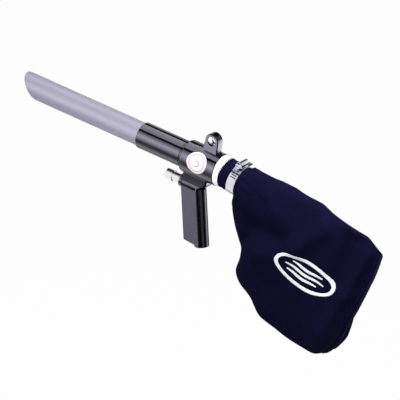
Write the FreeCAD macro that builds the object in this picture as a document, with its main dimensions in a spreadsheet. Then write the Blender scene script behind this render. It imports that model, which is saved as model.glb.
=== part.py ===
import FreeCAD, Part
import os
import re
import Sketcher

# Compressed-air hand vacuum gun with a cloth dust bag, in millimetres.
#
# Air enters the foot of the pistol grip, passes the push-button poppet valve, rises through the
# block into the ring-shaped plenum of the body, and leaves the gap between jet ring and throat as
# a ring jet that blows rearwards. The jet draws air through the slanted suction tube and drives
# it through the white outlet ring into the bag.
#
# Row frame: origin at the centre of the hanger eye's hole, +X along the barrel to the tube's
# mouth, +Y to the left, +Z up. Sub-parts are drawn in one of these frames, all with +X forward:
#   BARREL  on the barrel's centre line, at the body's rear face
#   GRIP    under the block, where the centre line of the grip's round back meets it
#   VALVE   on the valve's centre line, straight below the BARREL origin
#   CUFF    on the barrel's centre line at the outlet ring's rear face, drooping with the bag
# and SPIGOT_TOP, over the grip's air spigot, has its X axis straight up.

SIZES = (
    # body and hanger eye
    ("body_radius", 22.0, "outside of the cylindrical body"),
    ("body_length", 53.7, "body, rear face to front face"),
    ("body_front_bevel", 1.4, "two-step bevel of the body's front edge"),
    ("body_front_step", 0.4, "where that bevel changes its slope"),
    ("body_rear_bevel", 0.6, "bevel of the body's rear edge"),
    ("throat_radius", 14.6, "bore behind the jet"),
    ("plenum_radius", 15.9, "air chamber round the jet ring"),
    ("plenum_start", 27.7, "rear wall of the air chamber"),
    ("plenum_end", 43.7, "front wall of the air chamber"),
    ("seat_clearance", 0.05, "radial clearance of turned pieces in their seats"),
    ("eye_forward", 17.7, "hanger eye, ahead of the body's rear face"),
    ("eye_height", 36.5, "hanger eye above the barrel's centre line"),
    ("eye_hole_radius", 6.0, "hole of the hanger eye"),
    ("eye_radius", 10.3, "outside of the hanger eye"),
    ("eye_thickness", 12.0, "hanger eye, across the barrel"),
    ("eye_foot_flare", 2.0, "how far the eye's foot runs forward of the eye"),
    ("eye_foot_round", 4.0, "rounding between the eye's ends and the body"),
    ("eye_bevel", 1.2, "bevel of the eye's outer edges"),
    ("eye_hole_bevel", 0.4, "bevel of the hole's edges"),
    # block under the body
    ("block_width", 22.0, "block, across the barrel"),
    ("block_rear", 14.2, "block's rear face, ahead of the body's rear face"),
    ("block_length", 37.6, "block, along the barrel"),
    ("block_bottom", 26.4, "block's bottom face, below the barrel's centre line"),
    ("block_root", 3.5, "how far the block runs into the body's wall"),
    ("block_corner", 2.5, "rounding of the block's upright corners"),
    ("block_fillet", 1.2, "rounding between the block's sides and the body"),
    ("port_forward", 40.2, "air port, ahead of the body's rear face"),
    ("port_radius", 3.0, "air port from grip to plenum"),
    # sleeve, lock ring, jet ring and suction tube
    ("thread_radius", 16.5, "sleeve's rear thread"),
    ("lock_ring_radius", 17.7, "outside of the lock ring"),
    ("lock_ring_gap", 0.3, "clear line on each side of the lock ring"),
    ("lock_ring_width", 3.4, "lock ring, along the barrel"),
    ("lock_ring_bevel", 0.4, "bevel of the lock ring's edges"),
    ("sleeve_radius", 18.0, "outside of the front sleeve"),
    ("sleeve_length", 69.0, "front sleeve, without its thread"),
    ("sleeve_edge", 0.9, "bevel of the sleeve's front edge"),
    ("sleeve_bore", 13.6, "passage through the sleeve's thread"),
    ("tube_stop", 4.0, "sleeve's solid length behind the tube"),
    ("tube_radius", 16.0, "outside of the suction tube"),
    ("tube_wall", 2.0, "wall of the suction tube"),
    ("tube_length", 257.5, "suction tube, along its top"),
    ("tube_slant", 27.0, "how much shorter the tube is along its bottom"),
    ("jet_bore", 13.0, "passage through the jet ring"),
    ("jet_gap", 0.4, "ring jet, between jet ring and throat"),
    ("jet_overlap", 3.0, "jet ring's nose inside the throat"),
    ("jet_flange", 3.2, "jet ring's flange, along the barrel"),
    ("jet_skirt_radius", 14.9, "outside of the jet ring between flange and nose"),
    ("seal_section", 1.5, "thickness of the O-rings"),
    ("seal_slack", 0.05, "O-ring's clearance in its groove"),
    # outlet ring, cuff and bag
    ("ring_radius", 21.0, "outside of the outlet ring"),
    ("ring_length", 7.6, "outlet ring behind the body"),
    ("ring_step", 0.5, "step down of the outlet ring's rear part"),
    ("ring_step_length", 3.0, "outlet ring's rear part"),
    ("ring_spigot_radius", 17.0, "outlet ring's spigot in the body"),
    ("ring_spigot_length", 8.0, "outlet ring's spigot in the body"),
    ("droop", 6.0, "how far the bag pulls the outlet spigot down, in degrees"),
    ("outlet_radius", 18.0, "outside of the outlet spigot"),
    ("outlet_wall", 2.0, "wall of the outlet spigot"),
    ("outlet_length", 33.0, "outlet spigot behind the ring"),
    ("cloth_gap", 0.2, "clearance round the soft cuff"),
    ("cuff_wall", 2.0, "gathered cloth of the cuff"),
    ("cuff_length", 36.0, "cuff behind the outlet ring"),
    ("clamp_start", 14.9, "clamp band's front edge, behind the outlet ring"),
    ("clamp_width", 12.0, "clamp band"),
    ("clamp_thickness", 0.8, "clamp band's steel"),
    ("clamp_tail", 15.0, "free end of the clamp band"),
    ("clamp_slot_width", 1.3, "slots of the clamp band, round the band"),
    ("clamp_slot_length", 7.6, "slots of the clamp band, across the band"),
    ("clamp_slot_pitch", 8.6, "from slot to slot, in degrees round the band"),
    ("clamp_slot_count", 8, "slots from the middle of the housing towards the left"),
    ("clamp_tail_slot_pitch", 3.1, "from slot to slot in the free end"),
    ("clamp_tail_slot_count", 4, "slots in the free end"),
    ("worm_radius", 3.4, "clamp screw's thread"),
    ("worm_length", 13.0, "clamp screw's thread"),
    ("worm_offset", 1.0, "middle of the thread, to the left of the barrel"),
    ("worm_head_flats", 7.0, "clamp screw's head across its flats"),
    ("worm_head_height", 4.0, "clamp screw's head"),
    ("worm_collar_radius", 4.3, "collar under the clamp screw's head"),
    ("worm_collar_width", 1.0, "collar under the clamp screw's head"),
    ("worm_slot_width", 1.1, "screwdriver slot"),
    ("worm_slot_depth", 1.6, "screwdriver slot"),
    ("housing_wall", 0.9, "clamp housing's steel"),
    ("bag_half_thickness", 24.0, "bag, from its middle to its side"),
    ("bag_top", 20.0, "bag's top edge above the barrel's centre line, at the neck"),
    ("bag_shoulder_reach", 160.0, "where the bag's top edge bends, behind the body's rear face"),
    ("bag_shoulder_height", 13.0, "where the bag's top edge bends, above the barrel's centre"),
    ("bag_reach", 262.0, "bag's far corner, behind the body's rear face"),
    ("bag_far_drop", 20.0, "bag's far corner, below the barrel's centre line"),
    ("bag_foot_reach", 216.0, "bag's lower rear corner, behind the body's rear face"),
    ("bag_foot_drop", 184.0, "bag's lower rear corner, below the barrel's centre line"),
    ("bag_depth", 196.0, "bag's lowest point, below the barrel's centre line"),
    ("bag_front_drop", 138.0, "where the bag's front edge turns rearwards"),
    ("bag_toe_reach", 94.0, "bag's lower front corner, behind the body's rear face"),
    ("bag_toe_drop", 181.0, "bag's lower front corner, below the barrel's centre line"),
    ("bag_taper", 40.0, "how steeply the bag's panels close to its rim, in degrees"),
    # grip
    ("grip_top_forward", 33.1, "grip's round back at the block, ahead of the body's rear face"),
    ("grip_rake", 12.0, "grip's lean to the rear, in degrees"),
    ("grip_back_radius", 10.0, "grip's round back, and half of the grip's width"),
    ("grip_flat", 22.4, "grip's flat side, across its length"),
    ("grip_front_length", 84.2, "grip's length at its front"),
    ("grip_rear_length", 91.0, "grip's length at the middle of its round back"),
    ("grip_front_round", 1.6, "rounding of the grip's front edges"),
    ("grip_flange", 1.8, "grip's flange under the block"),
    ("grip_flare", 9.0, "height of the flare from grip to flange"),
    ("flare_middle", 0.3, "share of the flange's outline in the flare's middle section"),
    ("flange_arch", 3.0, "how far the flange's rear edge arches"),
    ("flare_sink", 0.2, "how deep the flare's foot lies in the grip"),
    ("inlet_length", 92.8, "air inlet's mouth, below the block along the round back"),
    ("inlet_thread_radius", 5.72, "core of the G1/4 inlet thread"),
    ("inlet_thread_depth", 14.0, "inlet thread"),
    ("inlet_bevel", 1.2, "bevel at the inlet's mouth"),
    ("inlet_passage_radius", 3.0, "air passage from inlet to valve"),
    ("spigot_radius", 6.0, "grip's air spigot in the block"),
    ("spigot_height", 5.4, "grip's air spigot in the block"),
    ("set_screw_radius", 2.0, "grip's set screw"),
    ("set_screw_height", 3.0, "grip's set screw above the block's bottom face"),
    ("set_screw_sink", 0.6, "set screw below the block's rear face"),
    ("set_screw_socket", 1.15, "hexagon socket, half across its corners"),
    ("set_screw_socket_depth", 2.0, "hexagon socket"),
    ("dowel_radius", 1.5, "dowel between grip and block"),
    ("dowel_forward", 48.2, "dowel, ahead of the body's rear face"),
    ("dowel_half_length", 2.6, "dowel, each way from the joint"),
    ("overcut", 1.0, "how far a cutting shape runs past what it cuts"),
    # valve
    ("valve_drop", 37.3, "valve's centre line, below the barrel's"),
    ("valve_boss_radius", 9.0, "boss round the valve on the grip's front"),
    ("valve_boss_front", 57.7, "boss's front face, ahead of the body's rear face"),
    ("seat_forward", 33.7, "valve seat, ahead of the body's rear face"),
    ("chamber_radius", 5.0, "chamber behind the valve seat"),
    ("chamber_end", 23.7, "chamber's rear wall, ahead of the body's rear face"),
    ("bush_radius", 6.5, "valve bush"),
    ("bush_collar_radius", 8.0, "flared collar of the bush"),
    ("bush_collar_width", 1.2, "straight part of the collar"),
    ("bush_flare", 1.5, "flared part of the collar"),
    ("bush_nose", 17.5, "bush ahead of the boss"),
    ("bush_edge", 0.5, "bevel of the bush's ends"),
    ("bush_passage", 2.6, "air passage round the stem"),
    ("bush_passage_length", 10.0, "air passage round the stem"),
    ("annulus_radius", 5.0, "bottom of the groove round the bush's cross holes"),
    ("annulus_width", 5.6, "groove round the bush's cross holes"),
    ("cross_hole_radius", 1.5, "cross holes of the bush"),
    ("stem_radius", 1.5, "valve stem"),
    ("stem_neck_radius", 1.2, "valve stem inside the washer"),
    ("stem_gland_forward", 47.7, "stem seal's groove, ahead of the body's rear face"),
    ("stem_seal_section", 1.4, "thickness of the stem's O-ring"),
    ("gland_width", 2.0, "grooves of the valve's O-rings"),
    ("bush_seal_section", 1.2, "thickness of the bush's O-rings"),
    ("poppet_radius", 4.3, "poppet head"),
    ("poppet_thickness", 2.0, "poppet head"),
    ("washer_thickness", 1.2, "rubber washer on the poppet"),
    ("spring_pilot_radius", 1.8, "spring's pilot behind the poppet"),
    ("spring_pilot_length", 1.2, "spring's pilot behind the poppet"),
    ("spring_radius", 2.9, "spring's mean radius"),
    ("spring_wire", 0.7, "spring's wire"),
    ("spring_turns", 3.5, "spring's turns"),
    ("button_radius", 7.4, "push button"),
    ("button_length", 11.5, "push button"),
    ("button_crown", 1.8, "push button's end wall"),
    ("button_edge", 0.8, "bevel of the push button's rim"),
    ("button_travel", 4.5, "push button's travel"),
    ("button_end_gap", 0.3, "gap left inside the button when it is pressed"),
    ("stem_grip", 1.2, "stem's depth in the button's end wall"),
    # label
    ("label_radius", 15.0, "round label"),
    ("label_thickness", 0.25, "round label"),
    ("label_forward", 26.7, "label's centre, ahead of the body's rear face"),
    ("label_tilt", 19.0, "label's centre above the horizontal, in degrees"),
)

doc = FreeCAD.newDocument("vacuum_gun")
sheet = doc.addObject("Spreadsheet::Sheet", "Sizes")
for row, (alias, number, note) in enumerate(SIZES, start=1):
    sheet.set(f"A{row}", alias)
    sheet.set(f"B{row}", str(number))
    sheet.setAlias(f"B{row}", alias)
    sheet.set(f"C{row}", note)
doc.recompute()

ALIAS = re.compile(r"\b(" + "|".join(alias for alias, number, note in SIZES) + r")\b")
NODES = []


# ---------------------------------------------------------------- helpers

def sized(expression):
    """Point the aliases in an expression at the sheet."""
    return ALIAS.sub(r"Sizes.\1", str(expression))


def value(expression):
    """Work an expression out to a plain number."""
    return float(sheet.evalExpression(sized(expression)))


def bind(item, name, expression):
    """Tie one property to the sheet."""
    item.setExpression(name, sized(expression))


def place(item, at, axis=(0, 1, 0), angle="0"):
    """Tie a placement to the sheet: a point, and a turn about a fixed axis."""
    turn = FreeCAD.Rotation(FreeCAD.Vector(*axis), value(angle) or 1.0)
    item.Placement = FreeCAD.Placement(FreeCAD.Vector(0, 0, 0), turn)
    for letter, expression in zip("xyz", at):
        bind(item, f"Placement.Base.{letter}", expression)
    bind(item, "Placement.Rotation.Angle", angle)


SECTION_SIDES = 8

BARREL = ("0", "0", "0")
GRIP = ("grip_top_forward", "-block_bottom", "0")
VALVE = ("0", "-valve_drop", "0")
CUFF = ("-ring_length", "0", "-droop")
SPIGOT_TOP = ("port_forward", "-block_bottom + spigot_height + seal_section / 2", "-90")


def in_row_frame(item, frame):
    """Place a sub-part drawn in one of the frames above into the row frame."""
    forward, up, turn = frame
    place(item, (f"{forward} - eye_forward", "0", f"{up} - eye_height"), (0, 1, 0), turn)


def new_body(name, frame):
    """Start a sub-part."""
    body = doc.addObject("PartDesign::Body", name)
    body.Label = name
    in_row_frame(body, frame)
    NODES.append(body)
    return body


def outline(body, name, plane, corners):
    """Draw a closed outline on an origin plane; each corner is tied to the sheet."""
    sketch = body.newObject("Sketcher::SketchObject", name)
    support = [item for item in body.Origin.OriginFeatures if item.Role == plane][0]
    sketch.AttachmentSupport = [(support, "")]
    sketch.MapMode = "FlatFace"
    spots = [FreeCAD.Vector(value(across), value(up), 0) for across, up in corners]
    count = len(spots)
    for index, spot in enumerate(spots):
        sketch.addGeometry(Part.LineSegment(spot, spots[(index + 1) % count]), False)
    for index in range(count):
        following = (index + 1) % count
        sketch.addConstraint(Sketcher.Constraint("Coincident", index, 2, following, 1))
    for index, (across, up) in enumerate(corners):
        for kind, expression, size in (
            ("DistanceX", across, spots[index].x),
            ("DistanceY", up, spots[index].y),
        ):
            number = sketch.addConstraint(Sketcher.Constraint(kind, -1, 1, index, 1, size))
            bind(sketch, f"Constraints[{number}]", expression)
    return sketch


def turned(body, name, corners, cut=False):
    """Revolve an outline of (forward, radius) corners about the frame's X axis."""
    sketch = outline(body, name + "_profile", "XY_Plane", corners)
    kind = "PartDesign::Groove" if cut else "PartDesign::Revolution"
    feature = body.newObject(kind, name)
    feature.Profile = sketch
    feature.ReferenceAxis = (sketch, ["H_Axis"])
    feature.Angle = 360
    sketch.Visibility = False
    return feature


def pad(body, name, plane, corners, length, cut=False):
    """Extrude an outline by the same amount to both sides of its plane."""
    sketch = outline(body, name + "_outline", plane, corners)
    kind = "PartDesign::Pocket" if cut else "PartDesign::Pad"
    feature = body.newObject(kind, name)
    feature.Profile = sketch
    feature.Midplane = True
    bind(feature, "Length", length)
    return feature


TURNS = {
    "x": ((0, 1, 0), "90"),
    "-x": ((0, 1, 0), "-90"),
    "y": ((1, 0, 0), "-90"),
    "z": ((0, 0, 1), "0"),
    "-z": ((1, 0, 0), "180"),
}


def cylinder(body, name, radius, length, at, along="x", cut=False):
    """Add or remove a round bar that starts at a point and runs along an axis."""
    kind = "PartDesign::SubtractiveCylinder" if cut else "PartDesign::AdditiveCylinder"
    feature = body.newObject(kind, name)
    bind(feature, "Radius", radius)
    bind(feature, "Height", length)
    axis, angle = TURNS.get(along, ((0, 1, 0), along))
    place(feature, at, axis, angle)
    return feature


def cone(body, name, radius, far_radius, length, at, along="x", cut=False):
    """Add or remove a cone that starts at a point and runs along an axis."""
    kind = "PartDesign::SubtractiveCone" if cut else "PartDesign::AdditiveCone"
    feature = body.newObject(kind, name)
    bind(feature, "Radius1", radius)
    bind(feature, "Radius2", far_radius)
    bind(feature, "Height", length)
    axis, angle = TURNS.get(along, ((0, 1, 0), along))
    place(feature, at, axis, angle)
    return feature


def box(body, name, size, at, cut=False):
    """Add or remove a block from its lowest corner."""
    kind = "PartDesign::SubtractiveBox" if cut else "PartDesign::AdditiveBox"
    feature = body.newObject(kind, name)
    for side, expression in zip(("Length", "Width", "Height"), size):
        bind(feature, side, expression)
    place(feature, at)
    return feature


def round_backed(body, name, height, back, side_end, front, half_width):
    """Draw a level section at a height: two straight sides, a straight front and an arched back."""
    sketch = body.newObject("Sketcher::SketchObject", name)
    support = [item for item in body.Origin.OriginFeatures if item.Role == "XY_Plane"][0]
    sketch.AttachmentSupport = [(support, "")]
    sketch.MapMode = "FlatFace"
    bind(sketch, "AttachmentOffset.Base.z", height)
    depth = f"(({side_end}) - ({back}))"
    radius = f"(({depth} ^ 2 + ({half_width}) ^ 2) / (2 * {depth}))"
    centre = f"(({back}) + {radius})"
    corners = ((side_end, f"-({half_width})"), (front, f"-({half_width})"),
               (front, half_width), (side_end, half_width))
    spots = [FreeCAD.Vector(value(across), value(up), 0) for across, up in corners]
    for start, end in zip(spots, spots[1:]):
        sketch.addGeometry(Part.LineSegment(start, end), False)
    sketch.addGeometry(Part.Arc(spots[3], FreeCAD.Vector(value(back), 0, 0), spots[0]), False)
    for line in range(3):
        sketch.addConstraint(Sketcher.Constraint("Coincident", line, 2, line + 1, 1))
    sketch.addConstraint(Sketcher.Constraint("Coincident", 3, 2, 0, 1))
    for index, (across, up) in enumerate(corners[:3]):
        for kind, expression, size in (
            ("DistanceX", across, spots[index].x),
            ("DistanceY", up, spots[index].y),
        ):
            number = sketch.addConstraint(Sketcher.Constraint(kind, -1, 1, index, 1, size))
            bind(sketch, f"Constraints[{number}]", expression)
    number = sketch.addConstraint(Sketcher.Constraint("Radius", 3, value(radius)))
    bind(sketch, f"Constraints[{number}]", radius)
    number = sketch.addConstraint(Sketcher.Constraint("DistanceX", -1, 1, 3, 3, value(centre)))
    bind(sketch, f"Constraints[{number}]", centre)
    return sketch


def rounding(body, name, size, chosen, kind="Fillet"):
    """Round or bevel the edges of the body so far for which chosen(edge) is true."""
    doc.recompute()
    base = body.Tip
    edges = [
        f"Edge{number}"
        for number, edge in enumerate(base.Shape.Edges, start=1)
        if chosen(edge)
    ]
    if not edges:
        raise RuntimeError(f"{body.Label}: no edge for {name}")
    feature = body.newObject(f"PartDesign::{kind}", name)
    feature.Base = (base, edges)
    bind(feature, "Radius" if kind == "Fillet" else "Size", size)
    doc.recompute()
    if "Invalid" in feature.State:
        raise RuntimeError(f"{body.Label}: {name} did not build")
    return feature


def near(number, expression, slack=0.01):
    """True where a number is a size of the sheet."""
    return abs(number - value(expression)) < slack


def round_section(across, up, radius):
    """Corners of a many-sided section that stands for a round one."""
    step = 360 / SECTION_SIDES
    return [(f"{across} + ({radius}) * cos({step * (corner + 0.5)})",
             f"{up} + ({radius}) * sin({step * (corner + 0.5)})")
            for corner in range(SECTION_SIDES)]


def o_ring(body, name, radius, section, at):
    """Add an O-ring round the X axis; radius is that of its section's middle."""
    return turned(body, name, round_section(at, radius, f"({section}) / 2"))


# ---------------------------------------------------------------- barrel

SLEEVE_REAR = "(body_length + lock_ring_width + 2 * lock_ring_gap)"
SLEEVE_FRONT = f"({SLEEVE_REAR} + sleeve_length)"
TUBE_SEAT = f"({SLEEVE_REAR} + tube_stop)"
SOCKET_RADIUS = "(thread_radius + seat_clearance)"
JET_FRONT = "(plenum_end + jet_flange)"
JET_NOSE = "(plenum_start - jet_overlap)"
BLOCK_FRONT = "(block_rear + block_length)"


def make_body_housing():
    """Cast body: turned barrel, grip block below, hanger eye above."""
    body = new_body("body_housing", BARREL)
    turned(body, "barrel", (
        ("0", "ring_spigot_radius + seat_clearance"),
        ("0", "body_radius - body_rear_bevel"),
        ("body_rear_bevel", "body_radius"),
        ("body_length - body_front_bevel", "body_radius"),
        ("body_length - body_front_step", "body_radius - body_front_step"),
        ("body_length", "body_radius - body_front_bevel"),
        ("body_length", SOCKET_RADIUS),
        ("plenum_end", SOCKET_RADIUS),
        ("plenum_end", "plenum_radius"),
        ("plenum_start", "plenum_radius"),
        ("plenum_start", "throat_radius"),
        ("ring_spigot_length", "throat_radius"),
        ("ring_spigot_length", "ring_spigot_radius + seat_clearance"),
    ))
    box(body, "block",
        ("block_length", "block_width", "block_bottom - body_radius + block_root"),
        ("block_rear", "-block_width / 2", "-block_bottom"))
    rounding(body, "block_corners", "block_corner", lambda edge: (
        near(edge.BoundBox.ZMin, "-block_bottom")
        and edge.BoundBox.ZLength > 1
        and edge.BoundBox.XLength < 0.01
        and edge.BoundBox.YLength < 0.01))
    meet = "sqrt(body_radius ^ 2 - (block_width / 2) ^ 2)"
    rounding(body, "block_root_round", "block_fillet", lambda edge: (
        edge.BoundBox.XMin > value("block_rear") - 0.1
        and edge.BoundBox.XMax < value(BLOCK_FRONT) + 0.1
        and edge.BoundBox.ZMin > -value("body_radius") - 0.1
        and edge.BoundBox.ZMax < -value(meet) + 0.1))
    pad(body, "eye_foot", "XZ_Plane", (
        ("eye_forward - eye_radius", "body_radius - block_root"),
        ("eye_forward + eye_radius + eye_foot_flare", "body_radius - block_root"),
        ("eye_forward + eye_radius", "eye_height"),
        ("eye_forward - eye_radius", "eye_height"),
    ), "eye_thickness")
    cylinder(body, "eye", "eye_radius", "eye_thickness",
             ("eye_forward", "-eye_thickness / 2", "eye_height"), "y")
    rounding(body, "eye_edges", "eye_bevel", lambda edge: (
        edge.BoundBox.YLength < 0.01
        and near(abs(edge.BoundBox.YMax), "eye_thickness / 2")
        and edge.BoundBox.ZMax > value("body_radius") + 1), "Chamfer")
    rounding(body, "eye_foot_ends", "eye_foot_round", lambda edge: (
        near(edge.BoundBox.YLength, "eye_thickness - 2 * eye_bevel", 0.3)
        and near(edge.BoundBox.ZMax, "body_radius", 0.1)))
    cylinder(body, "eye_hole", "eye_hole_radius", "2 * eye_thickness",
             ("eye_forward", "-eye_thickness", "eye_height"), "y", cut=True)
    rounding(body, "eye_hole_edges", "eye_hole_bevel", lambda edge: (
        edge.BoundBox.YLength < 0.01
        and near(edge.BoundBox.ZMin, "eye_height - eye_hole_radius")), "Chamfer")
    cylinder(body, "port", "port_radius", "block_bottom - jet_bore",
             ("port_forward", "0", "-block_bottom"), "z", cut=True)
    cylinder(body, "spigot_seat", "spigot_radius + seat_clearance",
             "spigot_height + seal_section + seal_slack",
             ("port_forward", "0", "-block_bottom"), "z", cut=True)
    cylinder(body, "set_screw_hole", "set_screw_radius + seat_clearance",
             "port_forward - block_rear",
             ("block_rear", "0", "-block_bottom + set_screw_height"), "x", cut=True)
    cylinder(body, "dowel_hole", "dowel_radius + seat_clearance",
             "dowel_half_length + seat_clearance",
             ("dowel_forward", "0", "-block_bottom"), "z", cut=True)


def make_lock_ring():
    """Threaded ring that locks the sleeve against the body."""
    body = new_body("lock_ring", BARREL)
    rear = "body_length + lock_ring_gap"
    front = f"{rear} + lock_ring_width"
    turned(body, "ring", (
        (rear, SOCKET_RADIUS),
        (rear, "lock_ring_radius - lock_ring_bevel"),
        (f"{rear} + lock_ring_bevel", "lock_ring_radius"),
        (f"{front} - lock_ring_bevel", "lock_ring_radius"),
        (front, "lock_ring_radius - lock_ring_bevel"),
        (front, SOCKET_RADIUS),
    ))


def make_front_sleeve():
    """Socket for the suction tube, with a thread that screws into the body."""
    body = new_body("front_sleeve", BARREL)
    groove = f"({JET_FRONT} + gland_width)"
    turned(body, "sleeve", (
        (JET_FRONT, "sleeve_bore"),
        (JET_FRONT, "thread_radius"),
        (groove, "thread_radius"),
        (groove, "thread_radius - seal_section"),
        (f"{groove} + gland_width", "thread_radius - seal_section"),
        (f"{groove} + gland_width", "thread_radius"),
        (SLEEVE_REAR, "thread_radius"),
        (SLEEVE_REAR, "sleeve_radius"),
        (f"{SLEEVE_FRONT} - sleeve_edge", "sleeve_radius"),
        (SLEEVE_FRONT, "sleeve_radius - sleeve_edge"),
        (SLEEVE_FRONT, "tube_radius + seat_clearance"),
        (TUBE_SEAT, "tube_radius + seat_clearance"),
        (TUBE_SEAT, "sleeve_bore"),
    ))
    seal = new_body("sleeve_seal", BARREL)
    o_ring(seal, "ring", "thread_radius - seal_section / 2", "seal_section - seal_slack",
           f"{groove} + gland_width / 2")


def make_jet_ring():
    """Annular nozzle: its nose and the throat leave the ring jet between them."""
    body = new_body("jet_ring", BARREL)
    turned(body, "ring", (
        (JET_NOSE, "jet_bore"),
        (JET_NOSE, "throat_radius - jet_gap"),
        ("plenum_start", "throat_radius - jet_gap"),
        ("plenum_start + jet_overlap", "jet_skirt_radius"),
        ("plenum_end", "jet_skirt_radius"),
        ("plenum_end", "thread_radius"),
        (JET_FRONT, "thread_radius"),
        (JET_FRONT, "jet_bore"),
    ))
    groove_middle = "plenum_end + jet_flange / 2"
    turned(body, "seal_groove", (
        (f"{groove_middle} - seal_section / 2", "thread_radius - seal_section"),
        (f"{groove_middle} - seal_section / 2", "thread_radius + overcut"),
        (f"{groove_middle} + seal_section / 2", "thread_radius + overcut"),
        (f"{groove_middle} + seal_section / 2", "thread_radius - seal_section"),
    ), cut=True)
    seal = new_body("jet_ring_seal", BARREL)
    o_ring(seal, "ring", "thread_radius - seal_section / 2", "seal_section - seal_slack",
           groove_middle)


def make_suction_tube():
    """Rigid plastic tube, cut off at a slant so that it is longest along its top."""
    body = new_body("suction_tube", BARREL)
    end = f"{TUBE_SEAT} + tube_length"
    turned(body, "tube", (
        (TUBE_SEAT, "tube_radius - tube_wall"),
        (TUBE_SEAT, "tube_radius"),
        (end, "tube_radius"),
        (end, "tube_radius - tube_wall"),
    ))
    beyond = f"{end} + tube_slant"
    pad(body, "mouth", "XZ_Plane", (
        (f"{end} - tube_slant * 1.5", "-tube_radius * 2"),
        (f"{end} + tube_slant / 2", "tube_radius * 2"),
        (beyond, "tube_radius * 2"),
        (beyond, "-tube_radius * 2"),
    ), "tube_radius * 3", cut=True)


# ---------------------------------------------------------------- grip

RAKE_SIN = "sin(grip_rake)"
RAKE_COS = "cos(grip_rake)"


def along_grip(forward, down):
    """A point given across and down the raked grip, in the GRIP frame."""
    return (f"({forward}) * {RAKE_COS} - ({down}) * {RAKE_SIN}",
            f"-({forward}) * {RAKE_SIN} - ({down}) * {RAKE_COS}")


def make_grip():
    """Pistol grip: flat sides, round back, valve boss in front, air inlet at its foot."""
    body = new_body("grip", GRIP)
    web_front_top = f"grip_flat / {RAKE_COS}"
    pad(body, "web", "XZ_Plane", (
        ("0", "0"),
        (web_front_top, "0"),
        along_grip("grip_flat", "grip_front_length"),
        along_grip("0", "grip_rear_length"),
    ), "2 * grip_back_radius")
    rounding(body, "front_edges", "grip_front_round", lambda edge: (
        edge.BoundBox.ZLength > value("grip_front_length") / 2
        and near(edge.BoundBox.XMax, web_front_top)))
    foot_x, foot_z = along_grip("0", "inlet_length")
    cylinder(body, "round_back", "grip_back_radius", "inlet_length + grip_back_radius",
             (foot_x, "0", foot_z), "grip_rake")
    over = "grip_flat * 3"
    pad(body, "top_cut", "XZ_Plane", (
        (f"-{over}", "0"),
        (over, "0"),
        (over, over),
        (f"-{over}", over),
    ), over, cut=True)
    make_grip_flare(body)
    cylinder(body, "valve_boss", "valve_boss_radius",
             "valve_boss_front - seat_forward",
             ("seat_forward - grip_top_forward", "0", "block_bottom - valve_drop"), "x")
    cylinder(body, "air_spigot", "spigot_radius", "spigot_height + grip_flange",
             ("port_forward - grip_top_forward", "0", "-grip_flange"), "z")
    cylinder(body, "bush_bore", "bush_radius + seat_clearance",
             "valve_boss_front - seat_forward + overcut",
             ("seat_forward - grip_top_forward", "0", "block_bottom - valve_drop"), "x",
             cut=True)
    cylinder(body, "chamber", "chamber_radius", "seat_forward - chamber_end + overcut",
             ("chamber_end - grip_top_forward", "0", "block_bottom - valve_drop"), "x",
             cut=True)
    cylinder(body, "air_port", "port_radius", "valve_drop - block_bottom + 2 * spigot_height",
             ("port_forward - grip_top_forward", "0", "block_bottom - valve_drop"), "z",
             cut=True)
    cylinder(body, "dowel_hole", "dowel_radius + seat_clearance",
             "dowel_half_length + seat_clearance",
             ("dowel_forward - grip_top_forward", "0", "0"), "-z", cut=True)
    cylinder(body, "inlet_thread", "inlet_thread_radius", "inlet_thread_depth",
             (foot_x, "0", foot_z), "grip_rake", cut=True)
    cone(body, "inlet_bevel", "inlet_thread_radius + inlet_bevel", "inlet_thread_radius",
         "inlet_bevel", (foot_x, "0", foot_z), "grip_rake", cut=True)
    cylinder(body, "inlet_passage", "inlet_passage_radius",
             f"inlet_length - (valve_drop - block_bottom) / {RAKE_COS}",
             (foot_x, "0", foot_z), "grip_rake", cut=True)


def make_grip_flare(body):
    """Flare from the grip's round back out to the block's outline, which ends in a thin flange."""
    flange_back = "(block_rear - grip_top_forward)"
    front = f"({BLOCK_FRONT} - grip_top_forward)"
    sections = []
    for number, share in enumerate(("1", "flare_middle", "0"), start=1):
        rest = f"(1 - {share})"
        down = f"(grip_flange + {rest} * grip_flare)"
        line_back = f"(-{down} * tan(grip_rake))"
        round_back = f"({line_back} - grip_back_radius / {RAKE_COS} + flare_sink)"
        back = f"({share} * {flange_back} + {rest} * {round_back})"
        side_end = f"({share} * ({flange_back} + flange_arch) + {rest} * {line_back})"
        half_width = (f"({share} * block_width / 2"
                      f" + {rest} * (grip_back_radius - flare_sink))")
        sections.append(round_backed(body, f"flare_section_{number}", f"-{down}",
                                     back, side_end, front, half_width))
    flare = body.newObject("PartDesign::AdditiveLoft", "flare")
    flare.Profile = sections[0]
    flare.Sections = sections[1:]
    flange = round_backed(body, "flange_outline", "-grip_flange", flange_back,
                          f"{flange_back} + flange_arch", front, "block_width / 2")
    plate = body.newObject("PartDesign::Pad", "flange")
    plate.Profile = flange
    bind(plate, "Length", "grip_flange")


def make_grip_fasteners():
    """Set screw and dowel that fix the grip to the block, and the seal round the air spigot."""
    screw = new_body("grip_set_screw", BARREL)
    tip = "port_forward - spigot_radius"
    head = "block_rear + set_screw_sink"
    level = "-block_bottom + set_screw_height"
    cylinder(screw, "screw", "set_screw_radius", f"{tip} - ({head})", (head, "0", level), "x")
    cylinder(screw, "socket", "set_screw_socket", "set_screw_socket_depth",
             (head, "0", level), "x", cut=True)
    dowel = new_body("grip_dowel", BARREL)
    cylinder(dowel, "dowel", "dowel_radius", "2 * dowel_half_length",
             ("dowel_forward", "0", "-block_bottom - dowel_half_length"), "z")
    seal = new_body("grip_seal", SPIGOT_TOP)
    o_ring(seal, "ring", "spigot_radius - seal_section / 2", "seal_section - seal_slack", "0")


# ---------------------------------------------------------------- valve

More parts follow.
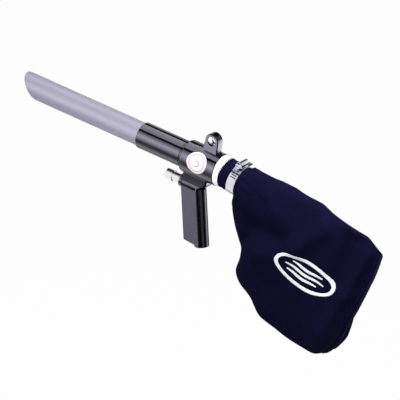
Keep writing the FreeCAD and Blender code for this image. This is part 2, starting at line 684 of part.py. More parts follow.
BUSH_FRONT = "(valve_boss_front + bush_nose)"
BUTTON_INSIDE = f"({BUSH_FRONT} + button_travel + button_end_gap)"
BUTTON_FRONT = f"({BUTTON_INSIDE} + button_crown)"
WASHER_REAR = "(seat_forward - washer_thickness)"
POPPET_REAR = f"({WASHER_REAR} - poppet_thickness)"
BUSH_SEALS = ("port_forward - annulus_width / 2 - gland_width",
              "port_forward + annulus_width / 2 + gland_width")


def make_valve_body():
    """Bush with seat, cross holes and stem gland, and the two O-rings round it."""
    body = new_body("valve_body", VALVE)
    stem_bore = "stem_radius + seat_clearance"
    gland_radius = "stem_radius + seat_clearance + stem_seal_section"
    collar = "valve_boss_front + seal_slack"
    turned(body, "bush", (
        ("seat_forward", "bush_passage"),
        ("seat_forward", "bush_radius - bush_edge"),
        ("seat_forward + bush_edge", "bush_radius"),
        (collar, "bush_radius"),
        (collar, "bush_collar_radius"),
        (f"{collar} + bush_collar_width", "bush_collar_radius"),
        (f"{collar} + bush_collar_width + bush_flare", "bush_radius"),
        (f"{BUSH_FRONT} - bush_edge", "bush_radius"),
        (BUSH_FRONT, "bush_radius - bush_edge"),
        (BUSH_FRONT, stem_bore),
        ("stem_gland_forward + gland_width", stem_bore),
        ("stem_gland_forward + gland_width", gland_radius),
        ("stem_gland_forward", gland_radius),
        ("stem_gland_forward", stem_bore),
        ("seat_forward + bush_passage_length", stem_bore),
        ("seat_forward + bush_passage_length", "bush_passage"),
    ))
    turned(body, "annulus", (
        ("port_forward - annulus_width / 2", "annulus_radius"),
        ("port_forward - annulus_width / 2", "bush_radius + overcut"),
        ("port_forward + annulus_width / 2", "bush_radius + overcut"),
        ("port_forward + annulus_width / 2", "annulus_radius"),
    ), cut=True)
    for number, at in enumerate(BUSH_SEALS, start=1):
        turned(body, f"seal_groove_{number}", (
            (f"{at} - bush_seal_section / 2", "bush_radius - bush_seal_section"),
            (f"{at} - bush_seal_section / 2", "bush_radius + overcut"),
            (f"{at} + bush_seal_section / 2", "bush_radius + overcut"),
            (f"{at} + bush_seal_section / 2", "bush_radius - bush_seal_section"),
        ), cut=True)
    for along, corner in (
        ("y", ("port_forward", "-bush_radius", "0")),
        ("z", ("port_forward", "0", "-bush_radius")),
    ):
        cylinder(body, f"cross_hole_{along}", "cross_hole_radius", "2 * bush_radius",
                 corner, along, cut=True)
    make_valve_body_seals()
    seal = new_body("stem_seal", VALVE)
    o_ring(seal, "ring", "stem_radius + seat_clearance + stem_seal_section / 2",
           "stem_seal_section - seal_slack", "stem_gland_forward + gland_width / 2")


def make_valve_body_seals():
    """The bush's two equal O-rings, one node of two solids."""
    rings = []
    for number, at in enumerate(BUSH_SEALS, start=1):
        ring = doc.addObject("PartDesign::Body", f"bush_seal_{number}")
        in_row_frame(ring, VALVE)
        o_ring(ring, "ring", "bush_radius - bush_seal_section / 2",
               "bush_seal_section - seal_slack", at)
        rings.append(ring)
    pair = doc.addObject("Part::Compound", "valve_body_seals")
    pair.Label = "valve_body_seals"
    pair.Links = rings
    NODES.append(pair)


def make_push_button():
    """Cap that slides over the bush's nose."""
    body = new_body("push_button", VALVE)
    rear = f"{BUTTON_FRONT} - button_length"
    inside = "bush_radius + seat_clearance"
    turned(body, "cap", (
        (rear, inside),
        (rear, "button_radius"),
        (f"{BUTTON_FRONT} - button_edge", "button_radius"),
        (BUTTON_FRONT, "button_radius - button_edge"),
        (BUTTON_FRONT, "0"),
        (f"{BUTTON_INSIDE} + stem_grip", "0"),
        (f"{BUTTON_INSIDE} + stem_grip", "stem_radius"),
        (BUTTON_INSIDE, "stem_radius"),
        (BUTTON_INSIDE, inside),
    ))


def make_valve_stem():
    """Stem with the poppet head, and the rubber washer that meets the seat."""
    body = new_body("valve_stem", VALVE)
    neck = "stem_neck_radius"
    turned(body, "stem", (
        (f"{POPPET_REAR} - spring_pilot_length", "0"),
        (f"{POPPET_REAR} - spring_pilot_length", "spring_pilot_radius"),
        (POPPET_REAR, "spring_pilot_radius"),
        (POPPET_REAR, "poppet_radius"),
        (WASHER_REAR, "poppet_radius"),
        (WASHER_REAR, neck),
        ("seat_forward", neck),
        ("seat_forward", "stem_radius"),
        (f"{BUTTON_INSIDE} + stem_grip", "stem_radius"),
        (f"{BUTTON_INSIDE} + stem_grip", "0"),
    ))
    washer = new_body("poppet_washer", VALVE)
    turned(washer, "washer", (
        (WASHER_REAR, neck),
        (WASHER_REAR, "poppet_radius"),
        ("seat_forward", "poppet_radius"),
        ("seat_forward", neck),
    ))


def make_valve_spring():
    """Return spring between the chamber's rear wall and the poppet."""
    wire = value("spring_wire")
    radius = value("spring_radius")
    room = value(f"{POPPET_REAR} - chamber_end")
    run = room - wire - 2 * value("seal_slack")
    turns = value("spring_turns")
    helix = Part.makeHelix(run / turns, run, radius)
    section = [FreeCAD.Vector(value(across), 0, value(up))
               for across, up in round_section(radius, 0, "spring_wire / 2")]
    wire_section = Part.makePolygon(section + section[:1])
    coil = Part.Wire(helix.Edges).makePipeShell([wire_section], True, True)
    spring = doc.addObject("Part::Feature", "valve_spring")
    spring.Label = "valve_spring"
    spring.Shape = coil
    start = "chamber_end - eye_forward + spring_wire / 2 + seal_slack"
    place(spring, (start, "0", "-valve_drop - eye_height"), (0, 1, 0), "90")
    NODES.append(spring)


# ---------------------------------------------------------------- outlet, clamp and bag

CLAMP_MIDDLE = "(clamp_start + clamp_width / 2)"
BAND_INSIDE = "(outlet_radius + cuff_wall + 2 * cloth_gap)"
BAND_OUTSIDE = f"({BAND_INSIDE} + clamp_thickness)"
WORM_HEIGHT = f"({BAND_OUTSIDE} + clamp_thickness + seat_clearance + worm_radius)"
ARCH_RADIUS = "(worm_radius + seat_clearance + housing_wall)"


def rearwards():
    """The turn that points a bar along the drooping spigot, away from the body."""
    return "-90 - droop"


def make_outlet_ring():
    """Plastic ring: a spigot into the body, and the drooping spigot that the bag goes on."""
    body = new_body("outlet_ring", BARREL)
    turned(body, "ring", (
        ("-ring_length", "throat_radius"),
        ("-ring_length", "ring_radius - ring_step"),
        ("-ring_length + ring_step_length", "ring_radius - ring_step"),
        ("-ring_length + ring_step_length", "ring_radius"),
        ("0", "ring_radius"),
        ("0", "ring_spigot_radius"),
        ("ring_spigot_length", "ring_spigot_radius"),
        ("ring_spigot_length", "throat_radius"),
    ))
    cylinder(body, "spigot", "outlet_radius", "outlet_length + ring_step_length / cos(droop)",
             ("ring_step_length - ring_length", "0", "ring_step_length * tan(droop)"),
             rearwards())
    cylinder(body, "spigot_bore", "outlet_radius - outlet_wall",
             "outlet_length + 2 * ring_step_length",
             ("-ring_length", "0", "0"), rearwards(), cut=True)
    cylinder(body, "throat", "throat_radius", "ring_length + ring_spigot_length + overcut",
             ("-ring_length - overcut", "0", "0"), "x", cut=True)


def make_bag_cuff():
    """Cloth collar of the bag, drawn over the outlet spigot up to the ring."""
    body = new_body("bag_cuff", CUFF)
    inside = "outlet_radius + cloth_gap"
    outside = "outlet_radius + cloth_gap + cuff_wall"
    cylinder(body, "collar", outside, "cuff_length + ring_length",
             ("-cuff_length", "0", "0"), "x")
    cylinder(body, "hollow", inside, "cuff_length + ring_length + 2 * overcut",
             ("-cuff_length - overcut", "0", "0"), "x", cut=True)
    trim = body.newObject("PartDesign::SubtractiveBox", "ring_face")
    side = f"4 * ({outside})"
    for name in ("Length", "Width", "Height"):
        bind(trim, name, side)
    place(trim, (f"-cloth_gap * cos(droop) - 2 * ({outside}) * sin(droop)",
                 f"-2 * ({outside})",
                 f"-2 * ({outside}) * cos(droop)"), (0, 1, 0), "droop")


def make_clamp():
    """Worm-drive hose clamp: band with a free end, housing and screw."""
    band = new_body("clamp_band", CUFF)
    front = "-clamp_start"
    rear = "-clamp_start - clamp_width"
    turned(band, "band", (
        (rear, BAND_INSIDE),
        (rear, BAND_OUTSIDE),
        (front, BAND_OUTSIDE),
        (front, BAND_INSIDE),
    ))
    box(band, "free_end", ("clamp_width", "clamp_tail", "clamp_thickness"),
        (rear, "-clamp_tail", f"{BAND_OUTSIDE} - clamp_thickness / 4"))
    make_clamp_slots(band)

    housing = new_body("clamp_housing", CUFF)
    reach = "worm_length + 2 * housing_wall"
    right = "worm_offset - worm_length / 2 - housing_wall"
    base = f"{BAND_OUTSIDE} + clamp_thickness + seat_clearance"
    box(housing, "saddle", (f"2 * {ARCH_RADIUS}", reach, f"{WORM_HEIGHT} - ({base})"),
        (f"-{CLAMP_MIDDLE} - {ARCH_RADIUS}", right, base))
    cylinder(housing, "arch", ARCH_RADIUS, reach,
             (f"-{CLAMP_MIDDLE}", right, WORM_HEIGHT), "y")
    box(housing, "band_face", (f"4 * {ARCH_RADIUS}", f"2 * ({reach})", f"2 * {ARCH_RADIUS}"),
        (f"-{CLAMP_MIDDLE} - 2 * {ARCH_RADIUS}", f"{right} - ({reach}) / 2",
         f"{base} - 2 * {ARCH_RADIUS}"), cut=True)
    cylinder(housing, "screw_bore", "worm_radius + seat_clearance",
             "worm_length + 2 * housing_wall",
             (f"-{CLAMP_MIDDLE}", f"{right} + housing_wall", WORM_HEIGHT), "y", cut=True)

    screw = new_body("clamp_screw", CUFF)
    worm_right = "worm_offset - worm_length / 2 + seat_clearance"
    collar_at = f"{right} + {reach} + seat_clearance"
    cylinder(screw, "worm", "worm_radius", f"({collar_at}) - ({worm_right})",
             (f"-{CLAMP_MIDDLE}", worm_right, WORM_HEIGHT), "y")
    cylinder(screw, "collar", "worm_collar_radius", "worm_collar_width",
             (f"-{CLAMP_MIDDLE}", collar_at, WORM_HEIGHT), "y")
    head = screw.newObject("PartDesign::AdditivePrism", "head")
    head.Polygon = 6
    bind(head, "Circumradius", "worm_head_flats / 2 / cos(30)")
    bind(head, "Height", "worm_head_height")
    place(head, (f"-{CLAMP_MIDDLE}", f"{collar_at} + worm_collar_width", WORM_HEIGHT),
          (1, 0, 0), "-90")
    box(screw, "slot", ("2 * worm_head_flats", "worm_slot_depth", "worm_slot_width"),
        (f"-{CLAMP_MIDDLE} - worm_head_flats",
         f"{collar_at} + worm_collar_width + worm_head_height - worm_slot_depth",
         f"{WORM_HEIGHT} - worm_slot_width / 2"), cut=True)


def make_clamp_slots(band):
    """Slots that the screw's thread runs in: round the band's left side and in its free end."""
    slot_size = ("clamp_slot_length", "clamp_slot_width", "4 * clamp_thickness")
    slot_rear = f"-{CLAMP_MIDDLE} - clamp_slot_length / 2"
    slot_floor = f"({BAND_OUTSIDE} - 2 * clamp_thickness)"
    for number in range(1, round(value("clamp_tail_slot_count")) + 1):
        box(band, f"tail_slot_{number}", slot_size,
            (slot_rear, f"-{number} * clamp_tail_slot_pitch - clamp_slot_width / 2",
             f"{BAND_OUTSIDE} - clamp_thickness / 2"), cut=True)
    for number in range(round(value("clamp_slot_count"))):
        turn = f"({number} * clamp_slot_pitch)"
        slot = box(band, f"slot_{number}", slot_size, (slot_rear, "0", "0"), cut=True)
        place(slot, (slot_rear,
                     f"{slot_floor} * sin({turn}) - clamp_slot_width / 2 * cos({turn})",
                     f"{slot_floor} * cos({turn}) + clamp_slot_width / 2 * sin({turn})"),
              (1, 0, 0), f"-{turn}")


def make_dust_bag():
    """The filled bag as one plain closed solid: two panels that close to a rim."""
    body = new_body("dust_bag", BARREL)
    neck_radius = "(outlet_radius + cloth_gap + cuff_wall)"
    neck_start = "(cuff_length + cloth_gap)"
    front = f"-ring_length - {neck_start} * cos(droop) - {neck_radius} * sin(droop)"
    panels = body.newObject("PartDesign::Pad", "panels")
    panels.Profile = outline(body, "panels_outline", "XZ_Plane", (
        (front, "bag_top"),
        ("-bag_shoulder_reach", "bag_shoulder_height"),
        ("-bag_reach", "-bag_far_drop"),
        ("-bag_foot_reach", "-bag_foot_drop"),
        ("-(bag_foot_reach + bag_toe_reach) / 2", "-bag_depth"),
        ("-bag_toe_reach", "-bag_toe_drop"),
        (front, "-bag_front_drop"),
    ))
    panels.SideType = "Two sides"
    for side in ("", "2"):
        bind(panels, f"Length{side}", "bag_half_thickness")
        bind(panels, f"TaperAngle{side}", "-bag_taper")
    cylinder(body, "neck", neck_radius, "2 * bag_half_thickness",
             (f"-ring_length - {neck_start} * cos(droop)", "0",
              f"-{neck_start} * sin(droop)"), rearwards())


# ---------------------------------------------------------------- label

def make_label_disc():
    """Thin round label that follows the body's surface."""
    shells = []
    for name, radius in (
        ("label_outside", "body_radius + label_thickness"),
        ("label_inside", "body_radius"),
    ):
        shell = doc.addObject("Part::Cylinder", name)
        bind(shell, "Radius", radius)
        bind(shell, "Height", "body_length")
        shells.append(shell)
    place(shells[0], ("-eye_forward", "0", "-eye_height"), (0, 1, 0), "90")
    place(shells[1], ("-eye_forward", "0", "-eye_height"), (0, 1, 0), "90")
    skin = doc.addObject("Part::Cut", "label_skin")
    skin.Base = shells[0]
    skin.Tool = shells[1]
    rim = doc.addObject("Part::Ellipse", "label_rim")
    bind(rim, "MajorRadius", "label_radius")
    bind(rim, "MinorRadius", "body_radius * sin(label_radius / body_radius * 180 / pi)")
    place(rim, ("label_forward - eye_forward", "0", "-eye_height"), (1, 0, 0),
          "label_tilt - 90")
    punch = doc.addObject("Part::Extrusion", "label_punch")
    punch.Base = rim
    punch.DirMode = "Custom"
    punch.Solid = True
    bind(punch, "Dir.x", "0")
    bind(punch, "Dir.y", "cos(label_tilt)")
    bind(punch, "Dir.z", "sin(label_tilt)")
    bind(punch, "LengthFwd", "2 * body_radius")
    disc = doc.addObject("Part::Common", "label_disc")
    disc.Label = "label_disc"
    disc.Base = skin
    disc.Tool = punch
    NODES.append(disc)


make_body_housing()
make_lock_ring()
make_front_sleeve()
make_jet_ring()
make_suction_tube()
make_grip()
make_grip_fasteners()
make_valve_body()
make_push_button()
make_valve_stem()
make_valve_spring()
make_outlet_ring()
make_bag_cuff()
make_clamp()
make_dust_bag()
make_label_disc()

# ---------------------------------------------------------------- check and write

doc.recompute()
for item in doc.Objects:
    if "Invalid" in item.State or "Error" in item.State:
        raise RuntimeError(f"{item.Label} did not build: {item.State}")

os.makedirs("parts", exist_ok=True)
for node in NODES:
    shape = node.Shape
    if shape.isNull() or not shape.isValid() or not shape.Solids:
        raise RuntimeError(f"{node.Label} has no valid solid")
    shape.exportStep(f"parts/{node.Label}.step")
    print(f"{node.Label:18} {len(shape.Solids)} solid(s) {shape.Volume / 1000:9.2f} cm3")
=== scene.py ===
"""Looks of a compressed-air hand vacuum gun: materials, cloth bag, prints, light and camera."""
import math

import bmesh
import bpy
from mathutils import Matrix, Quaternion, Vector, noise
from mathutils.bvhtree import BVHTree


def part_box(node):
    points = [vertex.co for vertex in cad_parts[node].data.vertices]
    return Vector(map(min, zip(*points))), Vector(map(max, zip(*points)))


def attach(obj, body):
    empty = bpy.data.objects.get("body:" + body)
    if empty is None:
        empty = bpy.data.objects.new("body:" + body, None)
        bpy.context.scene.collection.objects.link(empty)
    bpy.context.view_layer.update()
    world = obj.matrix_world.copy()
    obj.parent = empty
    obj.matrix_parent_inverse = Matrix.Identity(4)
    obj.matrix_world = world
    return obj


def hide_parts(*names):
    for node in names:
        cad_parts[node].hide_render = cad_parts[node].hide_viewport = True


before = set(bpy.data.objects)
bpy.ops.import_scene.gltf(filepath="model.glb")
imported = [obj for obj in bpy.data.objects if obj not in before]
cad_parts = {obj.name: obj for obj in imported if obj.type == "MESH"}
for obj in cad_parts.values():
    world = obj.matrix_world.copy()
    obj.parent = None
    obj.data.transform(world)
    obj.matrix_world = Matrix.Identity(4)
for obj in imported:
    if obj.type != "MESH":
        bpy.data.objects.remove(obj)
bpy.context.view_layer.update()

MM = 0.001

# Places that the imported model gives.
BODY_LOW, BODY_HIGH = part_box("body_housing")
LOCK_LOW, LOCK_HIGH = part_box("lock_ring")
CUFF_LOW, CUFF_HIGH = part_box("bag_cuff")
REAR_FACE = BODY_LOW.x
AXIS_HEIGHT = (LOCK_LOW.z + LOCK_HIGH.z) / 2
BARREL_RADIUS = (BODY_HIGH.y - BODY_LOW.y) / 2
NECK_RADIUS = (CUFF_HIGH.y - CUFF_LOW.y) / 2
DROOP = math.radians(6)

# The drooping outlet spigot: where it starts, which way it runs, and its own upward direction.
SPIGOT_START = Vector((CUFF_HIGH.x, 0, AXIS_HEIGHT))
SPIGOT_ALONG = Vector((-math.cos(DROOP), 0, -math.sin(DROOP)))
SPIGOT_UP = Vector((-math.sin(DROOP), 0, math.cos(DROOP)))
LEFT = Vector((0, 1, 0))


def on_barrel(behind, up):
    """A point in the bag's middle plane, in mm behind the body's rear face and above its axis."""
    return Vector((REAR_FACE - behind * MM, 0, AXIS_HEIGHT + up * MM))


def barrel_place(point):
    """How far a point is behind the body's rear face and above its axis, in mm."""
    return (REAR_FACE - point.x) / MM, (point.z - AXIS_HEIGHT) / MM


def on_spigot(distance, radius, angle):
    """A point round the spigot's centre line; angle 0 is its top and a quarter turn is +Y."""
    return (SPIGOT_START + SPIGOT_ALONG * distance
            + (SPIGOT_UP * math.cos(angle) + LEFT * math.sin(angle)) * radius)


# ---------------------------------------------------------------- small tools

def link(obj):
    """Put a new object in the scene."""
    bpy.context.scene.collection.objects.link(obj)
    return obj


def mesh_object(name, verts, faces):
    """A new mesh piece from its points and faces."""
    mesh = bpy.data.meshes.new(name)
    mesh.from_pydata([tuple(v) for v in verts], [], faces)
    mesh.validate()
    mesh.update()
    return link(bpy.data.objects.new(name, mesh))


def loft_faces(rings, points, ring_closed=True, loft_closed=False, flip=False, first=0):
    """Quads between neighbouring rings of points, which are numbered ring by ring from first."""
    faces = []
    for ring in range(rings if loft_closed else rings - 1):
        low, high = first + ring * points, first + (ring + 1) % rings * points
        for index in range(points if ring_closed else points - 1):
            after = (index + 1) % points
            quad = (low + index, high + index, high + after, low + after)
            faces.append(quad[:1] + quad[:0:-1] if flip else quad)
    return faces


def apply_modifiers(obj):
    """Replace the object's mesh by what its modifiers make of it now."""
    bpy.context.view_layer.update()
    graph = bpy.context.evaluated_depsgraph_get()
    baked = bpy.data.meshes.new_from_object(obj.evaluated_get(graph))
    obj.modifiers.clear()
    old, obj.data = obj.data, baked
    bpy.data.meshes.remove(old)


def thicken(obj, thickness, offset):
    """Give a sheet a thickness and apply its modifiers; offset -1 puts the thickness inside the
    sheet, and 0 puts half of it on each side."""
    wall = obj.modifiers.new("wall", "SOLIDIFY")
    wall.thickness = thickness
    wall.offset = offset
    apply_modifiers(obj)


def skin(obj, look):
    """Smooth shading and one material."""
    for polygon in obj.data.polygons:
        polygon.use_smooth = True
    obj.data.materials.clear()
    obj.data.materials.append(look)


def finish_piece(obj, look):
    """Smooth shading, one material, and a ride on the tool."""
    skin(obj, look)
    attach(obj, "tool")


def ease(x, start, end):
    """0 before start, 1 after end, and a smooth rise between."""
    t = min(max((x - start) / (end - start), 0.0), 1.0)
    return t * t * (3 - 2 * t)


def spline(points, share):
    """A Catmull-Rom curve through points at a share of its length, 0 to 1."""
    gaps = [(b - a).length for a, b in zip(points, points[1:])]
    target = share * sum(gaps)
    index = 0
    while index < len(gaps) - 1 and target > gaps[index]:
        target -= gaps[index]
        index += 1
    t = min(target / gaps[index], 1.0)
    b, c = points[index], points[index + 1]
    a = points[index - 1] if index else b * 2 - c
    d = points[index + 2] if index + 2 < len(points) else c * 2 - b
    return 0.5 * (2 * b + (c - a) * t + (2 * a - 5 * b + 4 * c - d) * t ** 2
                  + (3 * b - a - 3 * c + d) * t ** 3)


# ---------------------------------------------------------------- materials

# The Mix node's sockets of one name differ only by number: its two ends and its result.
NUMBER_A, NUMBER_B, NUMBER_OUT = 2, 3, 0
COLOUR_A, COLOUR_B, COLOUR_OUT = 6, 7, 2


def blend_shaders(tree, share, first, second, output):
    """Show a mix of two shader nodes at the tree's output node."""
    mix = tree.nodes.new("ShaderNodeMixShader")
    for index, source in enumerate((share, first.outputs[0], second.outputs[0])):
        tree.links.new(source, mix.inputs[index])
    tree.links.new(mix.outputs[0], tree.nodes[output].inputs["Surface"])


def light_path(tree, *kinds):
    """A socket that is 1 for the named kinds of ray and 0 for all others."""
    rays = tree.nodes.new("ShaderNodeLightPath")
    found = rays.outputs[f"Is {kinds[0]} Ray"]
    for kind in kinds[1:]:
        either = tree.nodes.new("ShaderNodeMath")
        either.operation = "MAXIMUM"
        tree.links.new(found, either.inputs[0])
        tree.links.new(rays.outputs[f"Is {kind} Ray"], either.inputs[1])
        found = either.outputs[0]
    return found


class Paint:
    """One Principled material, with helpers for its procedural detail."""

    def __init__(self, name, colour, roughness, **sockets):
        self.material = bpy.data.materials.new(name)
        self.material.use_nodes = True
        self.tree = self.material.node_tree
        self.shader = self.tree.nodes["Principled BSDF"]
        self.shader.inputs["Base Color"].default_value = (*colour, 1)
        self.shader.inputs["Roughness"].default_value = roughness
        for socket, number in sockets.items():
            self.shader.inputs[socket.replace("_", " ")].default_value = number
        self.colour = colour
        self.height = None

    def node(self, kind, **values):
        """A new node with numbers for its sockets, or else for its settings."""
        made = self.tree.nodes.new(kind)
        for key, number in values.items():
            if key in made.inputs:
                made.inputs[key].default_value = number
            else:
                setattr(made, key, number)
        return made

    def wire(self, source, target):
        """Link one socket to another."""
        self.tree.links.new(source, target)

    def place(self, stretch=(1, 1, 1), turn=(0, 0, 0)):
        """The point on the piece in metres, stretched per axis."""
        where = self.node("ShaderNodeTexCoord")
        mapping = self.node("ShaderNodeMapping", Scale=stretch, Rotation=turn)
        self.wire(where.outputs["Object"], mapping.inputs["Vector"])
        return mapping.outputs["Vector"]

    def distance(self, axes):
        """How far the point is from the frame's origin, counted along some axes only."""
        made = self.node("ShaderNodeVectorMath", operation="LENGTH")
        self.wire(self.place(axes), made.inputs[0])
        return made.outputs["Value"]

    def part(self, source, axis):
        """One axis of a vector."""
        made = self.node("ShaderNodeSeparateXYZ")
        self.wire(source, made.inputs["Vector"])
        return made.outputs[axis]

    def noise(self, scale, detail=2.0, stretch=(1, 1, 1)):
        """A cloudy pattern, by its number of waves in a metre."""
        made = self.node("ShaderNodeTexNoise", Scale=scale, Detail=detail)
        self.wire(self.place(stretch), made.inputs["Vector"])
        return made.outputs["Fac"]

    def spread(self, source, low, high, start=0.3, end=0.7):
        """Map the range from start to end of a pattern to the range from low to high."""
        made = self.node("ShaderNodeMapRange")
        for key, number in (("From Min", start), ("From Max", end),
                            ("To Min", low), ("To Max", high)):
            made.inputs[key].default_value = number
        self.wire(source, made.inputs["Value"])
        return made.outputs["Result"]

    def times(self, first, second):
        """The product of two patterns."""
        made = self.node("ShaderNodeMath", operation="MULTIPLY")
        self.wire(first, made.inputs[0])
        self.wire(second, made.inputs[1])
        return made.outputs["Value"]

    def mottle(self, source, other, start=0.3, end=0.7):
        """Drift between the paint's colour and another one after a pattern."""
        mix = self.node("ShaderNodeMix", data_type="RGBA")
        self.wire(self.spread(source, 0, 1, start, end), mix.inputs["Factor"])
        current = self.shader.inputs["Base Color"]
        if current.is_linked:
            self.wire(current.links[0].from_socket, mix.inputs[COLOUR_A])
        else:
            mix.inputs[COLOUR_A].default_value = (*self.colour, 1)
        mix.inputs[COLOUR_B].default_value = (*other, 1)
        self.wire(mix.outputs[COLOUR_OUT], current)

    def rough(self, source, low, high):
        """Vary the roughness after a pattern."""
        self.wire(self.spread(source, low, high), self.shader.inputs["Roughness"])

    def bump(self, source, depth):
        """Add relief of a depth in metres."""
        made = self.node("ShaderNodeBump", Strength=1.0, Distance=depth)
        self.wire(source, made.inputs["Height"])
        if self.height:
            self.wire(self.height, made.inputs["Normal"])
        self.height = made.outputs["Normal"]
        self.wire(self.height, self.shader.inputs["Normal"])


def gloss_black(name, roughness):
    """Black enamel whose reflections lean to violet."""
    paint = Paint(name, (0.0022, 0.0020, 0.0030), roughness, Specular_IOR_Level=0.36)
    paint.shader.inputs["Specular Tint"].default_value = (0.80, 0.775, 1.0, 1)
    return paint


def turned_paint():
    """Gloss black on the turned sleeve and lock ring."""
    paint = gloss_black("gloss_black_turned", 0.1)
    paint.rough(paint.noise(60, 3), 0.05, 0.08)
    paint.bump(paint.noise(160), 0.00001)
    return paint.material


# A casting's face counts as a flat side as its normal's sideways part goes through this range.
FLAT_FROM, FLAT_TO = 0.985, 0.998


def cast_paint(name, flat_roughness, draft, upright, leaning):
    """Gloss black over a casting. Its flat sides are duller. They lean by their draft where they
    are past the leaning height, and less and less towards the upright height."""
    paint = gloss_black(name, 0.2)
    facing = paint.node("ShaderNodeNewGeometry")
    sideways = paint.node("ShaderNodeMath", operation="ABSOLUTE")
    paint.wire(paint.part(facing.outputs["True Normal"], "Y"), sideways.inputs[0])
    flat_side = paint.spread(sideways.outputs["Value"], 0, 1, FLAT_FROM, FLAT_TO)
    mix = paint.node("ShaderNodeMix", data_type="FLOAT")
    paint.wire(flat_side, mix.inputs["Factor"])
    paint.wire(paint.spread(paint.noise(45, 3), 0.06, 0.10), mix.inputs[NUMBER_A])
    paint.wire(paint.spread(paint.noise(70, 3), flat_roughness - 0.03, flat_roughness + 0.03),
               mix.inputs[NUMBER_B])
    paint.wire(mix.outputs[NUMBER_OUT], paint.shader.inputs["Roughness"])
    height = paint.part(paint.place(), "Z")
    drafted = paint.times(flat_side, paint.spread(height, 0, 1, upright, leaning))
    slope = paint.spread(height, 0.5, -0.5, -0.5, 0.5)
    paint.bump(paint.times(slope, drafted), math.tan(draft))
    paint.bump(paint.noise(450), 0.00002)
    paint.bump(paint.noise(90), 0.00008)
    return paint


def bare_eye(paint):
    """Bare bright metal deep inside the hanger eye's hole, whose axis is the frame's Y axis."""
    by_the_bore = paint.spread(paint.distance((1, 0, 1)), 1, 0, 6.1 * MM, 6.3 * MM)
    deep_inside = paint.spread(paint.distance((0, 1, 0)), 1, 0, 2.6 * MM, 3.2 * MM)
    metal = paint.node("ShaderNodeBsdfPrincipled", Metallic=1.0, Roughness=0.2)
    metal.inputs["Base Color"].default_value = (0.85, 0.84, 0.86, 1)
    blend_shaders(paint.tree, paint.times(by_the_bore, deep_inside), paint.shader, metal,
                  "Material Output")
    return paint.material


def tube_plastic():
    """Grey satin pipe with faint lines of drawing along it."""
    paint = Paint("grey_satin_plastic", (0.258, 0.250, 0.316), 0.4, Specular_IOR_Level=0.25)
    paint.mottle(paint.noise(900, 2, (0.01, 1, 1)), (0.246, 0.236, 0.305))
    paint.rough(paint.noise(70, 3), 0.34, 0.46)
    paint.bump(paint.noise(1500, 2, (0.01, 1, 1)), 0.00003)
    return paint.material


def nickel_plate():
    """Bright nickel over turned brass."""
    paint = Paint("bright_nickel", (0.86, 0.83, 0.82), 0.12, Metallic=1.0)
    paint.rough(paint.noise(150, 3), 0.07, 0.16)
    paint.bump(paint.noise(5000, 1, (1, 0.01, 0.01)), 0.00001)
    return paint.material


def stainless_strip():
    """Bright rolled stainless steel, with bluish patches that are a painted reflection."""
    paint = Paint("rolled_stainless", (0.80, 0.79, 0.83), 0.18, Metallic=1.0)
    paint.mottle(paint.noise(120, 4), (0.70, 0.69, 0.74))
    # Bluish patches in the base colour: a painted reflection.
    paint.mottle(paint.noise(60, 1), (0.46, 0.47, 0.66), 0.5, 0.62)
    paint.rough(paint.noise(1200, 2, (1, 0.05, 0.05)), 0.12, 0.26)
    paint.bump(paint.noise(2500, 1, (1, 0.03, 0.03)), 0.00002)
    return paint.material


def moulded_white():
    """White moulded plastic of the outlet ring."""
    paint = Paint("white_moulded_plastic", (0.93, 0.92, 0.95), 0.35)
    paint.mottle(paint.noise(60, 3), (0.91, 0.90, 0.93))
    paint.rough(paint.noise(200, 3), 0.28, 0.42)
    paint.bump(paint.noise(700), 0.00003)
    return paint.material


def plain_steel():
    """Machined steel of the stem, spring, screw and dowel."""
    paint = Paint("machined_steel", (0.42, 0.41, 0.42), 0.3, Metallic=1.0)
    paint.rough(paint.noise(400, 3), 0.22, 0.4)
    paint.bump(paint.noise(3000, 1), 0.00001)
    return paint.material


def plain_brass():
    """Machined brass of the jet ring."""
    paint = Paint("machined_brass", (0.70, 0.50, 0.22), 0.25, Metallic=1.0)
    paint.rough(paint.noise(300, 3), 0.18, 0.34)
    paint.bump(paint.noise(4000, 1, (1, 0.02, 0.02)), 0.00001)
    return paint.material


def seal_rubber():
    """Black rubber of the O-rings and the poppet's washer."""
    paint = Paint("black_rubber", (0.012, 0.012, 0.013), 0.6)
    paint.rough(paint.noise(500, 3), 0.5, 0.7)
    paint.bump(paint.noise(2000), 0.00002)
    return paint.material


def film():
    """White film of the round label."""
    paint = Paint("white_film", (0.91, 0.90, 0.93), 0.3)
    paint.mottle(paint.noise(80, 2), (0.89, 0.88, 0.91))
    paint.rough(paint.noise(300, 2), 0.24, 0.36)
    paint.bump(paint.noise(900), 0.00001)
    return paint.material


def ink(name, colour):
    """Ink on the label, uneven by an eighth of its colour."""
    paint = Paint(name, colour, 0.45)
    paint.mottle(paint.noise(700, 2), tuple(c * 0.88 for c in colour))
    paint.rough(paint.noise(900, 2), 0.38, 0.55)
    return paint.material


THREAD_PITCH = 0.55 * MM
WEAVE_TILT = 0.08
WEAVE_DEPTH = 0.08 * MM
WAVE_NODE_RATE = 20  # the Wave node's phase in radians for each metre, at scale 1


def weave(paint, depth):
    """Relief of a plain weave in the bag's own plane."""
    for turn in (0, math.pi / 2):
        lines = paint.node("ShaderNodeTexWave", bands_direction="X", Distortion=0.6, Detail=1.0,
                           Scale=math.tau / WAVE_NODE_RATE / THREAD_PITCH)
        paint.wire(paint.place((1, 0.2, 1), (0, turn + WEAVE_TILT, 0)), lines.inputs["Vector"])
        paint.bump(lines.outputs["Fac"], depth)


